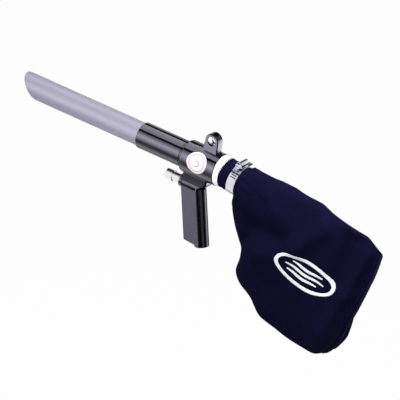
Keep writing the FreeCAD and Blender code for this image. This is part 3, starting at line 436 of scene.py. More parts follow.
def cloth():
    """Matt dark navy cloth."""
    paint = Paint("navy_cloth_weave", (0.0060, 0.0050, 0.0222), 0.95, Specular_IOR_Level=0.01,
                  Sheen_Weight=0.012, Sheen_Roughness=0.4, Sheen_Tint=(0.55, 0.5, 0.9, 1))
    paint.mottle(paint.noise(14, 3), (0.0047, 0.0039, 0.0172))
    paint.mottle(paint.noise(1400, 2, (1, 1, 0.1)), (0.0073, 0.0062, 0.0272), 0.45, 0.75)
    paint.rough(paint.noise(300, 2), 0.9, 1.0)
    weave(paint, WEAVE_DEPTH)
    paint.bump(paint.noise(260, 3), 0.0002)
    return paint.material


def welt_cloth_painted_highlight():
    """The same cloth where it is turned in and pressed; its paler colour is a painted highlight
    along its fold.
    """
    # The base colour, paler than the cloth's, is a painted highlight along the welt's fold.
    paint = Paint("navy_cloth_painted_highlight", (0.012, 0.0105, 0.032), 0.8, Specular_IOR_Level=0.1)
    paint.mottle(paint.noise(220, 3), (0.0065, 0.0058, 0.019))
    paint.rough(paint.noise(300, 2), 0.7, 0.9)
    weave(paint, WEAVE_DEPTH)
    return paint.material


def print_on_cloth():
    """White screen print on the bag, which fills the weave in part."""
    paint = Paint("white_print", (0.90, 0.90, 0.93), 0.8, Specular_IOR_Level=0.2)
    paint.mottle(paint.noise(500, 3), (0.82, 0.82, 0.88))
    paint.rough(paint.noise(500, 2), 0.7, 0.9)
    weave(paint, 0.05 * MM)
    return paint.material


def thread():
    """Navy sewing thread."""
    paint = Paint("navy_thread", (0.016, 0.014, 0.045), 0.8, Specular_IOR_Level=0.2)
    paint.mottle(paint.noise(3000, 2), (0.010, 0.009, 0.030))
    paint.rough(paint.noise(900, 2), 0.7, 0.9)
    return paint.material


TURNED, CLOTH = turned_paint(), cloth()
THREAD, PRINT, WELT_PAINTED_HIGHLIGHT = thread(), print_on_cloth(), welt_cloth_painted_highlight()
ROSE_INK, GREY_INK = ink("rose_ink", (0.76, 0.52, 0.58)), ink("grey_ink", (0.30, 0.28, 0.34))
NICKEL, STEEL, RUBBER = nickel_plate(), plain_steel(), seal_rubber()
STAINLESS, WHITE = stainless_strip(), moulded_white()
BODY = bare_eye(cast_paint("gloss_black_body", 0.24, math.radians(22), -0.024, -0.020))
GRIP = cast_paint("gloss_black_grip", 0.36, math.radians(12), -0.068, -0.076).material

NODE_LOOKS = {
    "body_housing": BODY,
    "grip": GRIP,
    "front_sleeve": TURNED,
    "lock_ring": TURNED,
    "suction_tube": tube_plastic(),
    "outlet_ring": WHITE,
    "push_button": NICKEL,
    "valve_body": NICKEL,
    "clamp_band": STAINLESS,
    "clamp_housing": STAINLESS,
    "clamp_screw": STAINLESS,
    "label_disc": film(),
    "jet_ring": plain_brass(),
    "grip_dowel": STEEL,
    "grip_set_screw": STEEL,
    "valve_spring": STEEL,
    "valve_stem": STEEL,
}


def dress_nodes():
    """Give every CAD node its detailed material; what isn't listed is a rubber seal."""
    for name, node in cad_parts.items():
        look = NODE_LOOKS.get(name, RUBBER)
        for place in node.material_slots:
            place.material = look


# ---------------------------------------------------------------- bag

# How the cloth sleeve is laid out, from its collar to its sewn end.
NECK_CLEAR = 0.1 * MM
NECK_LENGTH = 28.5 * MM
CLAMP_EDGE = 14.5 * MM
COLLAR_GATHER = 0.5 * MM
BAG_LENGTH = 0.225
RING_POINTS = 144
NECK_RINGS = 12
BODY_RINGS = 64
RING_CROWDING = 1.15
CLOTH_THICKNESS = 1.1 * MM

# Its thickness: half of it where it is fullest, how much less that is by the end, and over how
# many mm the two sides come together at the top and at the bottom of the end.
BAG_HALF = 23 * MM
END_THINNING = 7 * MM
CLOSING_TOP, CLOSING_BOTTOM = 52, 14

# The right side's cloth hangs out past the left one's in the lower rear, so far and this way.
OVERHANG = 19.5 * MM
OVERHANG_WAY = Vector((-0.85, 0, -0.53))

# Close behind the clamp: the gathers, the cloth's swell, and one pinched peak right of the top.
GATHERS = 17
GATHER_HEIGHT = 0.7 * MM
SWELL_HEIGHT = 2.0 * MM
PEAK_ANGLE = math.tau - 0.60
PEAK_WIDTH = 0.085
PEAK_HEIGHT = 5.0 * MM

# The bag's outline in its middle plane: top edge, front and bottom edge, and the sewn far end.
TOP_EDGE = [on_spigot(NECK_LENGTH, NECK_RADIUS, 0)] + [
    on_barrel(behind, up) for behind, up in (
        (52, 20), (77, 20), (102, 19), (128, 16.5), (152, 14), (177, 8), (202, 2.5),
        (218, -0.5), (231, -2), (242, -8), (255, -15.5))]
FRONT_EDGE = [on_spigot(NECK_LENGTH, NECK_RADIUS, math.pi)] + [
    on_barrel(behind, up) for behind, up in (
        (30, -36), (33, -52), (40, -74), (44, -84), (50, -94), (49.5, -110), (45, -128),
        (54, -144), (74, -157), (90.5, -177), (111.5, -183.5), (136, -190.5), (160, -194),
        (179, -195), (191, -190))]
END_EDGE = [on_barrel(behind, up) for behind, up in (
    (255, -15.5), (252.5, -32), (248.5, -51), (243, -70), (237.5, -88.5), (232, -106), (227, -120),
    (223, -132), (219.5, -144.5), (214.5, -158), (208.5, -170), (200.5, -181), (191, -190))]

# Soft folds: two ends in mm (behind, up), width and height in mm, and the side of the bag.
FOLDS = (
    ((41, 2), (50, -22), 5, 3.3, 1),
    ((36, -4), (42, -30), 4, -2.4, 1),
    ((44, -38), (54, -62), 5, 3.9, 1),
    ((66, -56), (58, -76), 8, -6.0, 1),
    ((60, -78), (70, -106), 6, 3.6, 1),
    ((72, -47), (118, -51), 16, -11.2, 1),
    ((84, 4), (102, -14), 9, 5.2, 1),
    ((174, -10), (142, -48), 12, 7.8, 1),
    ((142, -48), (90, -78), 13, 6.9, 1),
    ((214, -12), (206, -74), 14, -11.2, 1),
    ((240, -22), (216, -90), 9, 9.0, 1),
    ((216, -90), (196, -150), 9, 7.8, 1),
    ((70, -112), (92, -152), 11, 3.3, 1),
    ((120, -120), (150, -168), 20, -6.8, 1),
    ((170, -110), (186, -168), 13, 3.6, 1),
    ((48, 0), (82, -58), 9, 3.6, -1),
    ((60, 8), (132, -34), 12, -4.5, -1),
    ((96, -30), (92, -92), 13, 5.8, -1),
    ((150, -4), (128, -70), 14, 5.8, -1),
    ((190, -10), (170, -88), 16, -7.6, -1),
    ((228, -20), (206, -128), 11, 6.8, -1),
    ((70, -96), (124, -150), 13, -4.2, -1),
    ((120, -104), (172, -164), 14, 5.4, -1),
)
BROAD_FOLD = 10
CREST_BROAD, CREST_NARROW = 2, 1.4

# Shallow unevenness all over: height and size in mm, and a number that sets the sides apart.
RIPPLES = ((1.8, 34, 4.0), (0.6, 13, 6.0))

# The print's middle and its two half axes in mm (behind, up), and the calmer cloth around it.
PRINT_CENTRE = (158.0, -79.9)
PRINT_LONG = (43.7, -10.8)
PRINT_SHORT = (9.3, 20.1)
CALM_REACH = (52, 31)
CALMING = 0.85


def half_thickness(share, down, from_end):
    """Half the bag's thickness, by the share of the way to its end, the share of the way down its
    end, and the distance from that end."""
    full = NECK_RADIUS + (BAG_HALF - NECK_RADIUS) * ease(share, 0, 0.35)
    full -= END_THINNING * ease(share, 0.45, 0.95) * (1 - 0.5 * ease(down, 0.5, 0.9))
    closing = (CLOSING_TOP - (CLOSING_TOP - CLOSING_BOTTOM) * ease(down, 0.35, 0.75)) * MM
    if from_end < closing:
        return full * math.sin(math.pi / 2 * from_end / closing) ** 0.8
    return full


def neck_ripple(share, angle):
    """How far the gathers, the swell and the peak behind the clamp lift the cloth."""
    gathers = math.cos(angle * GATHERS + 2.6 * noise.noise(Vector((angle, 0.4, 9.0))))
    ripple = GATHER_HEIGHT * gathers * ease(share, 0.0, 0.02) * ease(0.13 - share, 0.0, 0.11)
    peak = math.exp(-((angle - PEAK_ANGLE) / PEAK_WIDTH) ** 2)
    ripple += PEAK_HEIGHT * peak * ease(share, 0.0, 0.008) * ease(0.034 - share, 0.0, 0.02)
    ripple += SWELL_HEIGHT * ease(share, 0.0, 0.03) * ease(0.22 - share, 0.0, 0.16)
    return ripple


def bag_point(share, angle):
    """A point of the bag's surface, before it is blown up."""
    down = (1 - math.cos(angle)) / 2
    top, front = spline(TOP_EDGE, share), spline(FRONT_EDGE, share)
    straight = TOP_EDGE[-1] * (1 - down) + FRONT_EDGE[-1] * down
    middle = top * (1 - down) + front * down + (spline(END_EDGE, down) - straight) * share ** 2
    depth = half_thickness(share, down, (1 - share) * BAG_LENGTH)
    side = math.sin(angle)
    overhang = (OVERHANG * ease(down, 0.38, 0.56) * ease(1 - down, 0.0, 0.12)
                * ease(share, 0.75, 0.97))
    middle += OVERHANG_WAY * (overhang * max(0.0, -side) * depth / BAG_HALF)
    flat = ease(share, 0, 0.3)
    bulge = math.copysign(abs(side) ** (1 - 0.15 * flat), side) if side else 0
    outward = ((top - front).normalized() * math.cos(angle) + LEFT * side).normalized()
    return middle + LEFT * (depth * bulge) + outward * neck_ripple(share, angle)


def fold_height(behind, up, side):
    """How far the folds lift the cloth at a place on one side of the bag, in mm."""
    total = 0.0
    for (x0, z0), (x1, z1), width, height, on_side in FOLDS:
        if on_side != side:
            continue
        run = (x1 - x0) ** 2 + (z1 - z0) ** 2
        t = ((behind - x0) * (x1 - x0) + (up - z0) * (z1 - z0)) / run
        near = min(max(t, 0.0), 1.0)
        gap = math.hypot(behind - x0 - near * (x1 - x0), up - z0 - near * (z1 - z0))
        crest = CREST_NARROW if width < BROAD_FOLD else CREST_BROAD
        total += height * math.exp(-(gap / width) ** crest)
    for height, size, apart in RIPPLES:
        total += height * noise.noise(Vector((behind / size, up / size, side * apart)))
    if side > 0:
        gap = math.hypot((behind - PRINT_CENTRE[0]) / CALM_REACH[0],
                         (up - PRINT_CENTRE[1]) / CALM_REACH[1])
        total *= 1 - CALMING * math.exp(-gap ** 2)
    return total


def make_bag_shell():
    """The bag as one cloth sleeve: its neck over the spigot, its far end sewn shut. The cloth is
    held still where it is sewn or clamped."""
    verts, hold = [], []
    for ring in range(NECK_RINGS):
        distance = NECK_CLEAR + (NECK_LENGTH - NECK_CLEAR) * ring / NECK_RINGS
        loose = COLLAR_GATHER * ease(CLAMP_EDGE - distance, 0.0, 4 * MM)
        for index in range(RING_POINTS):
            angle = math.tau * index / RING_POINTS
            gather = noise.noise(Vector((math.cos(angle) * 5, math.sin(angle) * 5, distance * 90)))
            verts.append(on_spigot(distance, NECK_RADIUS - NECK_CLEAR + loose * gather, angle))
            hold.append(1.0)
    for ring in range(BODY_RINGS + 1):
        share = 1 - (1 - ring / BODY_RINGS) ** RING_CROWDING
        for index in range(RING_POINTS):
            angle = math.tau * index / RING_POINTS
            verts.append(bag_point(share, angle))
            rim = 0.9 * (1 - ease(abs(math.sin(angle)), 0.05, 0.45)) * ease(share, 0.02, 0.15)
            ends = max(ease(share, 0.96, 1.0), ease(0.06 - share, 0.0, 0.06))
            hold.append(max(rim, ends))
    rings = NECK_RINGS + BODY_RINGS + 1
    bag = mesh_object("bag_cloth", verts, loft_faces(rings, RING_POINTS, flip=True))
    held = bag.vertex_groups.new(name="held")
    for index, weight in enumerate(hold):
        held.add([index], weight, "REPLACE")
    work = bmesh.new()
    work.from_mesh(bag.data)
    bmesh.ops.remove_doubles(work, verts=work.verts, dist=0.05 * MM)
    work.to_mesh(bag.data)
    work.free()
    return bag


PRESSURE = 3.0
SIM_FRAMES = 20
MOVE_CAP = 6 * MM


def blow_up(bag):
    """Let the cloth swell under a little pressure, and keep each point within the cap."""
    before = [v.co.copy() for v in bag.data.vertices]
    cloth_sim = bag.modifiers.new("cloth", "CLOTH")
    settings = cloth_sim.settings
    settings.quality = 6
    settings.mass = 0.3
    settings.tension_stiffness = 25
    settings.compression_stiffness = 12
    settings.shear_stiffness = 8
    settings.bending_stiffness = 0.3
    settings.use_pressure = True
    settings.uniform_pressure_force = PRESSURE
    settings.effector_weights.gravity = 0
    settings.vertex_group_mass = "held"
    cloth_sim.collision_settings.use_collision = False
    cloth_sim.point_cache.frame_start = 1
    cloth_sim.point_cache.frame_end = SIM_FRAMES
    scene = bpy.context.scene
    for number in range(1, SIM_FRAMES + 1):
        scene.frame_set(number)
    apply_modifiers(bag)
    scene.frame_set(1)
    for vertex, start in zip(bag.data.vertices, before):
        moved = vertex.co - start
        if moved.length > MOVE_CAP:
            vertex.co = start + moved * (MOVE_CAP / moved.length)


def fold_cloth(bag):
    """Press the soft folds into both sides of the bag; they fade out at its rim and its neck."""
    bag.data.update()
    lifts = [v.normal * fold_height(*barrel_place(v.co), math.copysign(1, v.co.y))
             * MM * ease(abs(v.co.y), 1 * MM, 9 * MM)
             * ease((v.co - SPIGOT_START).dot(SPIGOT_ALONG) - NECK_LENGTH, 1 * MM, 12 * MM)
             for v in bag.data.vertices]
    for vertex, lift in zip(bag.data.vertices, lifts):
        vertex.co += lift


def make_bag():
    """The soft bag, from its collar under the clamp to its sewn end."""
    bag = make_bag_shell()
    blow_up(bag)
    fold_cloth(bag)
    smooth = bag.modifiers.new("smooth", "SUBSURF")
    smooth.levels = smooth.render_levels = 1
    thicken(bag, CLOTH_THICKNESS, -1)
    skin(bag, CLOTH)
    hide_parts("dust_bag", "bag_cuff")
    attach(bag, "tool")
    return bag


# ---------------------------------------------------------------- sewing

TUBE_SIDES = 6

# One stitch: the share of its length, and its lift and thickness in thread radii.
STITCH = ((0.0, -0.9, 0.45), (0.12, 0.15, 0.8), (0.35, 0.75, 1.0), (0.65, 0.75, 1.0),
          (0.88, 0.15, 0.8), (1.0, -0.9, 0.45))
THREAD_RADIUS = 0.28 * MM

# The welt's section in mm, outwards and sideways, and how many steps it takes along the end.
WELT_SECTION = ((-2.2, 0.3), (-0.8, 1.0), (0.6, 1.15), (2.0, 0.85), (2.5, 0.0),
                (2.0, -0.85), (0.6, -1.15), (-0.8, -1.0), (-2.2, -0.3))
WELT_STEPS = 110

# The end seam's stitches: how many a side, where one starts and stops in its own share of the
# seam, where the first is and how much of the end they take up, and how far in from the end.
SEAM_COUNT = 62
SEAM_STITCH = (0.14, 0.82)
SEAM_START, SEAM_SPAN = 0.02, 0.95
SEAM_INSET = 4.2 * MM

# The collar's rolled edge and its hem's stitches.
ROLL_STEPS, ROLL_SIDES = 144, 10
HEM_COUNT = 40
HEM_STITCH = (0.1, 0.75)
HEM_DISTANCE = 8.2 * MM
HEM_LIFT = 0.12 * MM

# How much further along the end its direction is taken, as a share of its length.
LOOK_AHEAD = 0.01

# Rays that look for the bag's side start this far out, and stop before the middle plane.
RAY_START, RAY_LENGTH = 80 * MM, 79 * MM


def tube_mesh(paths):
    """Points and faces of closed tubes; a path is a list of (point, radius, up)."""
    verts, faces = [], []
    for path in paths:
        base = len(verts)
        for index, (point, radius, up) in enumerate(path):
            before = path[max(index - 1, 0)][0]
            after = path[min(index + 1, len(path) - 1)][0]
            along = (after - before).normalized()
            across = along.cross(up).normalized()
            rise = across.cross(along).normalized()
            for side in range(TUBE_SIDES):
                turn = math.tau * side / TUBE_SIDES
                verts.append(point + (across * math.cos(turn) + rise * math.sin(turn)) * radius)
        last = base + (len(path) - 1) * TUBE_SIDES
        faces += loft_faces(len(path), TUBE_SIDES, flip=True, first=base)
        faces.append(tuple(base + side for side in reversed(range(TUBE_SIDES))))
        faces.append(tuple(last + side for side in range(TUBE_SIDES)))
    return verts, faces


def stitch_path(start, end, up):
    """One stitch: a short thread that dips into the cloth at both ends."""
    return [(start.lerp(end, share) + up * (lift * THREAD_RADIUS), size * THREAD_RADIUS, up)
            for share, lift, size in STITCH]


def surface_of(obj):
    """A search tree over the piece's surface."""
    bpy.context.view_layer.update()
    return BVHTree.FromObject(obj, bpy.context.evaluated_depsgraph_get())


def on_side(surface, behind, up, side, lift=0.0):
    """The place on one side of the bag at a distance behind the body and above its axis."""
    start = on_barrel(behind, up) + LEFT * (side * RAY_START)
    spot, normal, _, _ = surface.ray_cast(start, -LEFT * side, RAY_LENGTH)
    if spot is None:
        return None, None
    if normal.y * side < 0:
        normal = -normal
    return spot + normal * lift, normal


def across_end(along, rearwards):
    """The direction across the bag's end in its middle plane, to the rear or to the front."""
    way = LEFT.cross(along).normalized()
    wrong = way.x > 0 if rearwards else way.x < 0
    return -way if wrong else way


def make_end_seam():
    """The welt along the bag's sewn end: two turned-in layers held by the seam."""
    verts = []
    for step in range(WELT_STEPS + 1):
        share = step / WELT_STEPS
        point = spline(END_EDGE, share)
        outward = across_end(spline(END_EDGE, min(share + LOOK_AHEAD, 1))
                             - spline(END_EDGE, max(share - LOOK_AHEAD, 0)), True)
        full = 0.35 + 0.65 * min(ease(share, 0, 0.02), ease(1 - share, 0, 0.05))
        pucker = 1 + 0.12 * noise.noise(Vector((share * 55, 1.0, 2.0)))
        sway = LEFT * (0.5 * MM * noise.noise(Vector((share * 16, 4.0, 2.0))))
        verts += [point + sway + outward * (out * full * pucker * MM)
                  + LEFT * (thick * full * pucker * MM) for out, thick in WELT_SECTION]
    count = len(WELT_SECTION)
    faces = loft_faces(WELT_STEPS + 1, count)
    faces.append(tuple(range(count)))
    faces.append(tuple(WELT_STEPS * count + index for index in reversed(range(count))))
    # The welt's paler cloth is a painted highlight along its fold.
    finish_piece(mesh_object("bag_end_welt", verts, faces), WELT_PAINTED_HIGHLIGHT)


def make_seam_stitches(surface):
    """Stitches beside the welt, on both sides of the bag."""
    paths = []
    for side in (1, -1):
        for number in range(SEAM_COUNT):
            ends = []
            for part in SEAM_STITCH:
                share = SEAM_SPAN * ((number + part) / SEAM_COUNT)
                point = spline(END_EDGE, SEAM_START + share)
                ahead = spline(END_EDGE, SEAM_START + LOOK_AHEAD + share)
                along = (ahead - point).normalized()
                spot = point + across_end(along, False) * SEAM_INSET
                ends.append(on_side(surface, *barrel_place(spot), side))
            if all(spot is not None for spot, _ in ends):
                paths.append(stitch_path(ends[0][0], ends[1][0], ends[0][1]))
    finish_piece(mesh_object("bag_seam_stitches", *tube_mesh(paths)), THREAD)


def make_cuff_roll():
    """The rolled front edge of the collar."""
    verts = []
    for index in range(ROLL_STEPS):
        angle = math.tau * index / ROLL_STEPS
        wave = noise.noise(Vector((math.cos(angle) * 4, math.sin(angle) * 4, 5.0)))
        for side in range(ROLL_SIDES):
            turn = math.tau * side / ROLL_SIDES
            verts.append(on_spigot((1.15 + 0.85 * math.cos(turn) + 0.10 * wave) * MM,
                                   NECK_RADIUS + (0.75 * math.sin(turn) - 0.42 + 0.12 * wave) * MM,
                                   angle))
    faces = loft_faces(ROLL_STEPS, ROLL_SIDES, loft_closed=True)
    finish_piece(mesh_object("cuff_rolled_edge", verts, faces), CLOTH)


def make_hem_stitches():
    """The stitches round the collar that hold its hem."""
    paths = []
    middle = SPIGOT_START + SPIGOT_ALONG * HEM_DISTANCE
    for number in range(HEM_COUNT):
        start, end = [on_spigot(HEM_DISTANCE, NECK_RADIUS + HEM_LIFT,
                                math.tau * (number + part) / HEM_COUNT) for part in HEM_STITCH]
        paths.append(stitch_path(start, end, (start - middle).normalized()))
    finish_piece(mesh_object("cuff_hem_stitches", *tube_mesh(paths)), THREAD)


# ---------------------------------------------------------------- prints

# The bag's print: how it lies on the cloth, the strips across a band, and the oval's two edges.
PRINT_LIFT = 0.12 * MM
PRINT_THICKNESS = 0.22 * MM
PRINT_STRIPS = 5
OVAL_STEPS = 180
OVAL = ((1, 1), (0.885, 0.77))

# The streams of air in the oval: level, start and end, as shares of its half axes. Then half the
# width of one, the height of its waves and how many the longest stream has.
STREAMS = ((0.37, -0.50, 0.52), (0.02, -0.66, 0.66), (-0.33, -0.54, 0.50))
STREAM_STEPS = 60
STREAM_HALF = 0.095
STREAM_LONGEST = 0.66
WAVE_HEIGHT = 0.05
WAVE_COUNT = 1.5

# The round label: where its middle is, and the surface that it lies on.
LABEL_LOW, LABEL_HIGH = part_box("label_disc")
LABEL_RADIUS = (LABEL_HIGH.x - LABEL_LOW.x) / 2
LABEL_SURFACE = BARREL_RADIUS + 0.27 * MM
LABEL_TILT = (math.asin((LABEL_HIGH.z - AXIS_HEIGHT) / LABEL_SURFACE)
              + math.asin((LABEL_LOW.z - AXIS_HEIGHT) / LABEL_SURFACE)) / 2

# Its print in shares of its radius: the ring's two edges; and the curl's half width, the angles
# in radians that it starts at and turns through, and its first reach and growth.
LABEL_THICKNESS = 0.08 * MM
LABEL_STRIPS = 3
RING_STEPS = 120
RING = ((0.84, 0.84), (0.66, 0.66))
CURL_STEPS = 48
CURL_HALF = 0.05
CURL_START, CURL_TURN = 0.6, 5.0
CURL_REACH, CURL_GROWTH = 0.12, 0.26


def on_print(surface, long_share, short_share):
    """A place of the oval print, given as shares of its two half axes."""
    behind = PRINT_CENTRE[0] + PRINT_LONG[0] * long_share + PRINT_SHORT[0] * short_share
    up = PRINT_CENTRE[1] + PRINT_LONG[1] * long_share + PRINT_SHORT[1] * short_share
    return on_side(surface, behind, up, 1, PRINT_LIFT)[0]


def on_label(along, around):
    """A place on the label, by shares of its radius forward and round the body upwards."""
    angle = LABEL_TILT + around * LABEL_RADIUS / BARREL_RADIUS
    return Vector(((LABEL_LOW.x + LABEL_HIGH.x) / 2 + along * LABEL_RADIUS,
                   LABEL_SURFACE * math.cos(angle), AXIS_HEIGHT + LABEL_SURFACE * math.sin(angle)))


def print_band(name, lines, closed, strips, lay, thickness, look):
    """A printed band with some strips across. Each line is the places of its two edges, and lay
    gives the point on the surface for a place."""
    verts = []
    for start, end in lines:
        for step in range(strips + 1):
            part = step / strips
            verts.append(lay(start[0] + (end[0] - start[0]) * part,
                             start[1] + (end[1] - start[1]) * part))
    band = mesh_object(name, verts, loft_faces(len(lines), strips + 1, False, closed))
    thicken(band, thickness, 0)
    finish_piece(band, look)


def ring_lines(steps, outer, inner):
    """The lines of an oval ring between two sizes, each given along and up."""
    lines = []
    for index in range(steps):
        turn = math.tau * index / steps
        lines.append([(math.cos(turn) * along, math.sin(turn) * up)
                      for along, up in (outer, inner)])
    return lines


def tapered(share, blunt, power):
    """The width of a stroke at a share of its length; blunt is how little it tapers."""
    return math.sin(math.pi * (blunt + (1 - 2 * blunt) * share)) ** power


def make_bag_print(surface):
    """A plain printed oval with three streams of air in it."""
    def lay(long_share, short_share):
        return on_print(surface, long_share, short_share)

    printing = (PRINT_STRIPS, lay, PRINT_THICKNESS, PRINT)
    print_band("bag_print_ring", ring_lines(OVAL_STEPS, *OVAL), True, *printing)
    for number, (level, start, end) in enumerate(STREAMS, start=1):
        lines = []
        for index in range(STREAM_STEPS + 1):
            share = index / STREAM_STEPS
            along = start + (end - start) * share
            turn = (along + STREAM_LONGEST) / (2 * STREAM_LONGEST) * math.tau * WAVE_COUNT
            wave = WAVE_HEIGHT * math.sin(turn)
            half = STREAM_HALF * tapered(share, 0.06, 0.6)
            lines.append(((along, level + wave + half), (along, level + wave - half)))
        print_band(f"bag_print_stream_{number}", lines, False, *printing)


def make_label_print():
    """A rose ring and a small grey curl of air on the round label."""
    printing = (LABEL_STRIPS, on_label, LABEL_THICKNESS)
    print_band("label_ring", ring_lines(RING_STEPS, *RING), True, *printing, ROSE_INK)
    curl = []
    for index in range(CURL_STEPS + 1):
        share = index / CURL_STEPS
        turn = CURL_START + share * CURL_TURN
        reach = CURL_REACH + CURL_GROWTH * share
        half = CURL_HALF * tapered(share, 0.08, 0.7)
        curl.append([(edge * math.cos(turn), edge * math.sin(turn))
                     for edge in (reach + half, reach - half)])
    print_band("label_curl", curl, False, *printing, GREY_INK)


# ---------------------------------------------------------------- light, floor and camera

VIEW_AZIMUTH = math.radians(211.99)
VIEW_ELEVATION = math.radians(27.89)
VIEW_ROLL = math.radians(8.107)
VIEW_TARGET = Vector((-0.0089, 0.0278, -0.0739))
VIEW_DISTANCE = 7.0
VIEW_WIDTH = 0.5164
FLOOR_HEIGHT = -0.56
FLOOR_REACH = 6.0
FLOOR_WHITE_SHARE = 0.97
WORLD_LIGHT = 0.25

# What the panels stand round: a place on the barrel's axis; and how far off they are, and how
# many degrees they lean forward. The dark strips stand a little nearer.
PANEL_MIDDLE = 0.10
PANEL_REACH = 1.15
PANEL_FORWARD = 27
STRIP_REACH, STRIP_HALF = 1.10, 0.8

ENAMEL = ("body_housing", "grip", "front_sleeve", "lock_ring")
TUBE = ("suction_tube",)


def make_camera():
    """The product view: from the rear left, a little above, slightly rolled."""
    back = Vector((math.sin(VIEW_AZIMUTH) * math.cos(VIEW_ELEVATION),
                   -math.cos(VIEW_AZIMUTH) * math.cos(VIEW_ELEVATION),
                   math.sin(VIEW_ELEVATION)))
    data = bpy.data.cameras.new("camera")
    data.sensor_width = 36
    data.lens = data.sensor_width * VIEW_DISTANCE / VIEW_WIDTH
    data.clip_end = 50
    camera = link(bpy.data.objects.new("camera", data))
    camera.rotation_mode = "QUATERNION"
    camera.rotation_quaternion = ((-back).to_track_quat("-Z", "Y")
                                  @ Quaternion((0, 0, 1), VIEW_ROLL))
    camera.location = VIEW_TARGET + back * VIEW_DISTANCE
    bpy.context.scene.camera = camera


def round_barrel(degrees, forward=PANEL_FORWARD):
    """A direction by its degrees round the barrel, 0 to its left, and its degrees forward."""
    angle, forward = math.radians(degrees), math.radians(forward)
    return Vector((math.sin(forward), math.cos(angle) * math.cos(forward),
                   math.sin(angle) * math.cos(forward)))


def light_only(lamp, objects):
    """Let a lamp light some objects and no others."""
    group = bpy.data.collections.new(lamp.name)
    for obj in objects:
        group.objects.link(obj)
    lamp.light_linking.receiver_collection = group


def panel(name, aim, width, length, radiance, along=(1, 0, 0), only=(), reach=PANEL_REACH):
    """A soft panel that faces the gun from a direction, its length parallel to along.

    With nodes named, it only shows as a reflection in their gloss; else it only gives plain
    light."""
    data = bpy.data.lights.new(name, "AREA")
    data.shape = "RECTANGLE"
    data.size, data.size_y = width, length
    data.energy = radiance * math.pi * width * length
    lamp = link(bpy.data.objects.new(name, data))
    along = Vector(along)
    toward = -(aim - along * aim.dot(along)).normalized()
    side = along.cross(toward).normalized()
    spot = Vector((PANEL_MIDDLE, 0, AXIS_HEIGHT)) + aim * reach
    lamp.matrix_world = Matrix((
        (side.x, along.x, -toward.x, spot.x),
        (side.y, along.y, -toward.y, spot.y),
        (side.z, along.z, -toward.z, spot.z),
        (0, 0, 0, 1)))
    gloss = bool(only)
    lamp.visible_camera = False
    lamp.visible_diffuse = not gloss
    lamp.visible_glossy = gloss
    lamp.visible_transmission = gloss
    data.use_shadow = not gloss
    if gloss:
        light_only(lamp, [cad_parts[node] for node in only])
    return lamp


def make_gloss_panels():
    """What the gloss mirrors. The left one is a nest of ever narrower panels, each a little
    nearer, so that it is bright in its middle and fades out to its sides."""
    for number, width in enumerate((1.56, 1.18, 0.84, 0.54, 0.28), start=1):
        panel(f"left_gloss_{number}", round_barrel(15), width, 0.9, 2.15,
              only=ENAMEL + TUBE, reach=PANEL_REACH - 0.01 * number)
    panel("overhead_gloss", round_barrel(98), 1.20, 0.9, 5.2, only=ENAMEL)
    panel("tube_gloss", round_barrel(100), 0.9, 0.9, 3.6, only=TUBE)
    panel("low_gloss", round_barrel(-69), 0.28, 0.5, 1.5, only=ENAMEL, reach=0.52)
    upright = (0, 0, 1)
    panel("rear_gloss", Vector((-0.657, -0.591, -0.468)), 0.40, 1.2, 4.0, upright, ("grip",))
    panel("eye_gloss", Vector((-0.57, -0.78, -0.20)), 0.26, 0.30, 7.0, upright,
          ("body_housing",), 0.42)


def make_fill_panels():
    """Plain light from above and from the left; the cloth gets a raking one, for its folds."""
    panel("overhead_fill", round_barrel(98, -22), 1.3, 1.3, 3.8)
    left = panel("left_fill", round_barrel(18, -5), 1.4, 1.2, 2.8)
    raking = panel("raking_fill", round_barrel(50, -18), 0.6, 0.6, 12.5)
    pieces = [obj for obj in bpy.data.objects if obj.type == "MESH"]
    cloth_pieces = [obj for obj in pieces if obj.name.startswith("bag_")]
    light_only(raking, cloth_pieces)
    light_only(left, [obj for obj in pieces if obj not in cloth_pieces])


def make_surround():
    """A world that is white where it is seen or mirrored, and gives little light."""
    world = bpy.data.worlds.new("surround")
    bpy.context.scene.world = world
    world.use_nodes = True
    tree = world.node_tree
    plain, seen = tree.nodes["Background"], tree.nodes.new("ShaderNodeBackground")
    for background, strength in ((plain, WORLD_LIGHT), (seen, 1.0)):
        background.inputs["Color"].default_value = (1, 1, 1, 1)
        background.inputs["Strength"].default_value = strength
    blend_shaders(tree, light_path(tree, "Camera", "Glossy", "Transmission"), plain, seen,
                  "World Output")


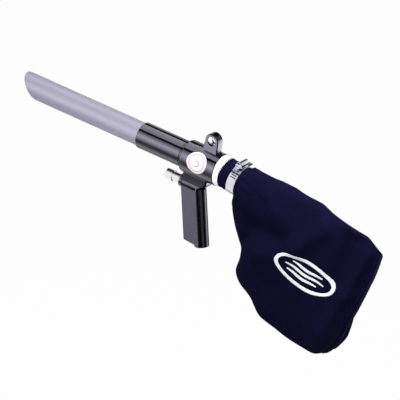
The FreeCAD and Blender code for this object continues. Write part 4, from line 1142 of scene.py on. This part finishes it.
def make_floor():
    """A plain pale floor well below the hanging gun, almost white where it is seen."""
    corners = [(x, y, FLOOR_HEIGHT) for x, y in (
        (-FLOOR_REACH, -FLOOR_REACH), (FLOOR_REACH, -FLOOR_REACH),
        (FLOOR_REACH, FLOOR_REACH), (-FLOOR_REACH, FLOOR_REACH))]
    floor = mesh_object("floor", corners, [(0, 1, 2, 3)])
    paint = Paint("pale_floor", (0.62, 0.62, 0.62), 0.9, Specular_IOR_Level=0.1)
    white = paint.node("ShaderNodeEmission", Strength=1.0)
    share = paint.node("ShaderNodeMath", operation="MULTIPLY")
    share.inputs[1].default_value = FLOOR_WHITE_SHARE
    paint.wire(light_path(paint.tree, "Camera", "Glossy"), share.inputs[0])
    blend_shaders(paint.tree, share.outputs[0], paint.shader, white, "Material Output")
    floor.data.materials.append(paint.material)


def dark_card(name, corners):
    """A black card that is only seen as a reflection in glossy surfaces."""
    card = mesh_object(name, corners, [(0, 1, 2, 3)])
    black = Paint(name, (0.01, 0.01, 0.01), 1.0, Specular_IOR_Level=0.0)
    card.data.materials.append(black.material)
    card.visible_camera = False
    card.visible_diffuse = False
    card.visible_shadow = False
    card.visible_transmission = False


def make_dark_cards():
    """One on the floor behind the gun, and two strips beside the overhead panel."""
    dark_card("floor_card", [(x, y, FLOOR_HEIGHT + 0.01) for x, y in (
        (-1.3, -1.3), (0.05, -1.3), (0.05, 1.5), (-1.3, 1.5))])
    for name, start, end in (("left_strip", 54, 70), ("right_strip", 128, 152)):
        corners = ((start, -STRIP_HALF), (end, -STRIP_HALF), (end, STRIP_HALF),
                   (start, STRIP_HALF))
        dark_card(name, [Vector((PANEL_MIDDLE + along, 0, AXIS_HEIGHT))
                         + round_barrel(degrees) * STRIP_REACH for degrees, along in corners])


dress_nodes()
bag_surface = surface_of(make_bag())
make_end_seam()
make_seam_stitches(bag_surface)
make_cuff_roll()
make_hem_stitches()
make_bag_print(bag_surface)
make_label_print()
make_floor()
make_dark_cards()
make_gloss_panels()
make_fill_panels()
make_surround()
make_camera()
bpy.context.scene.view_settings.view_transform = "Standard"
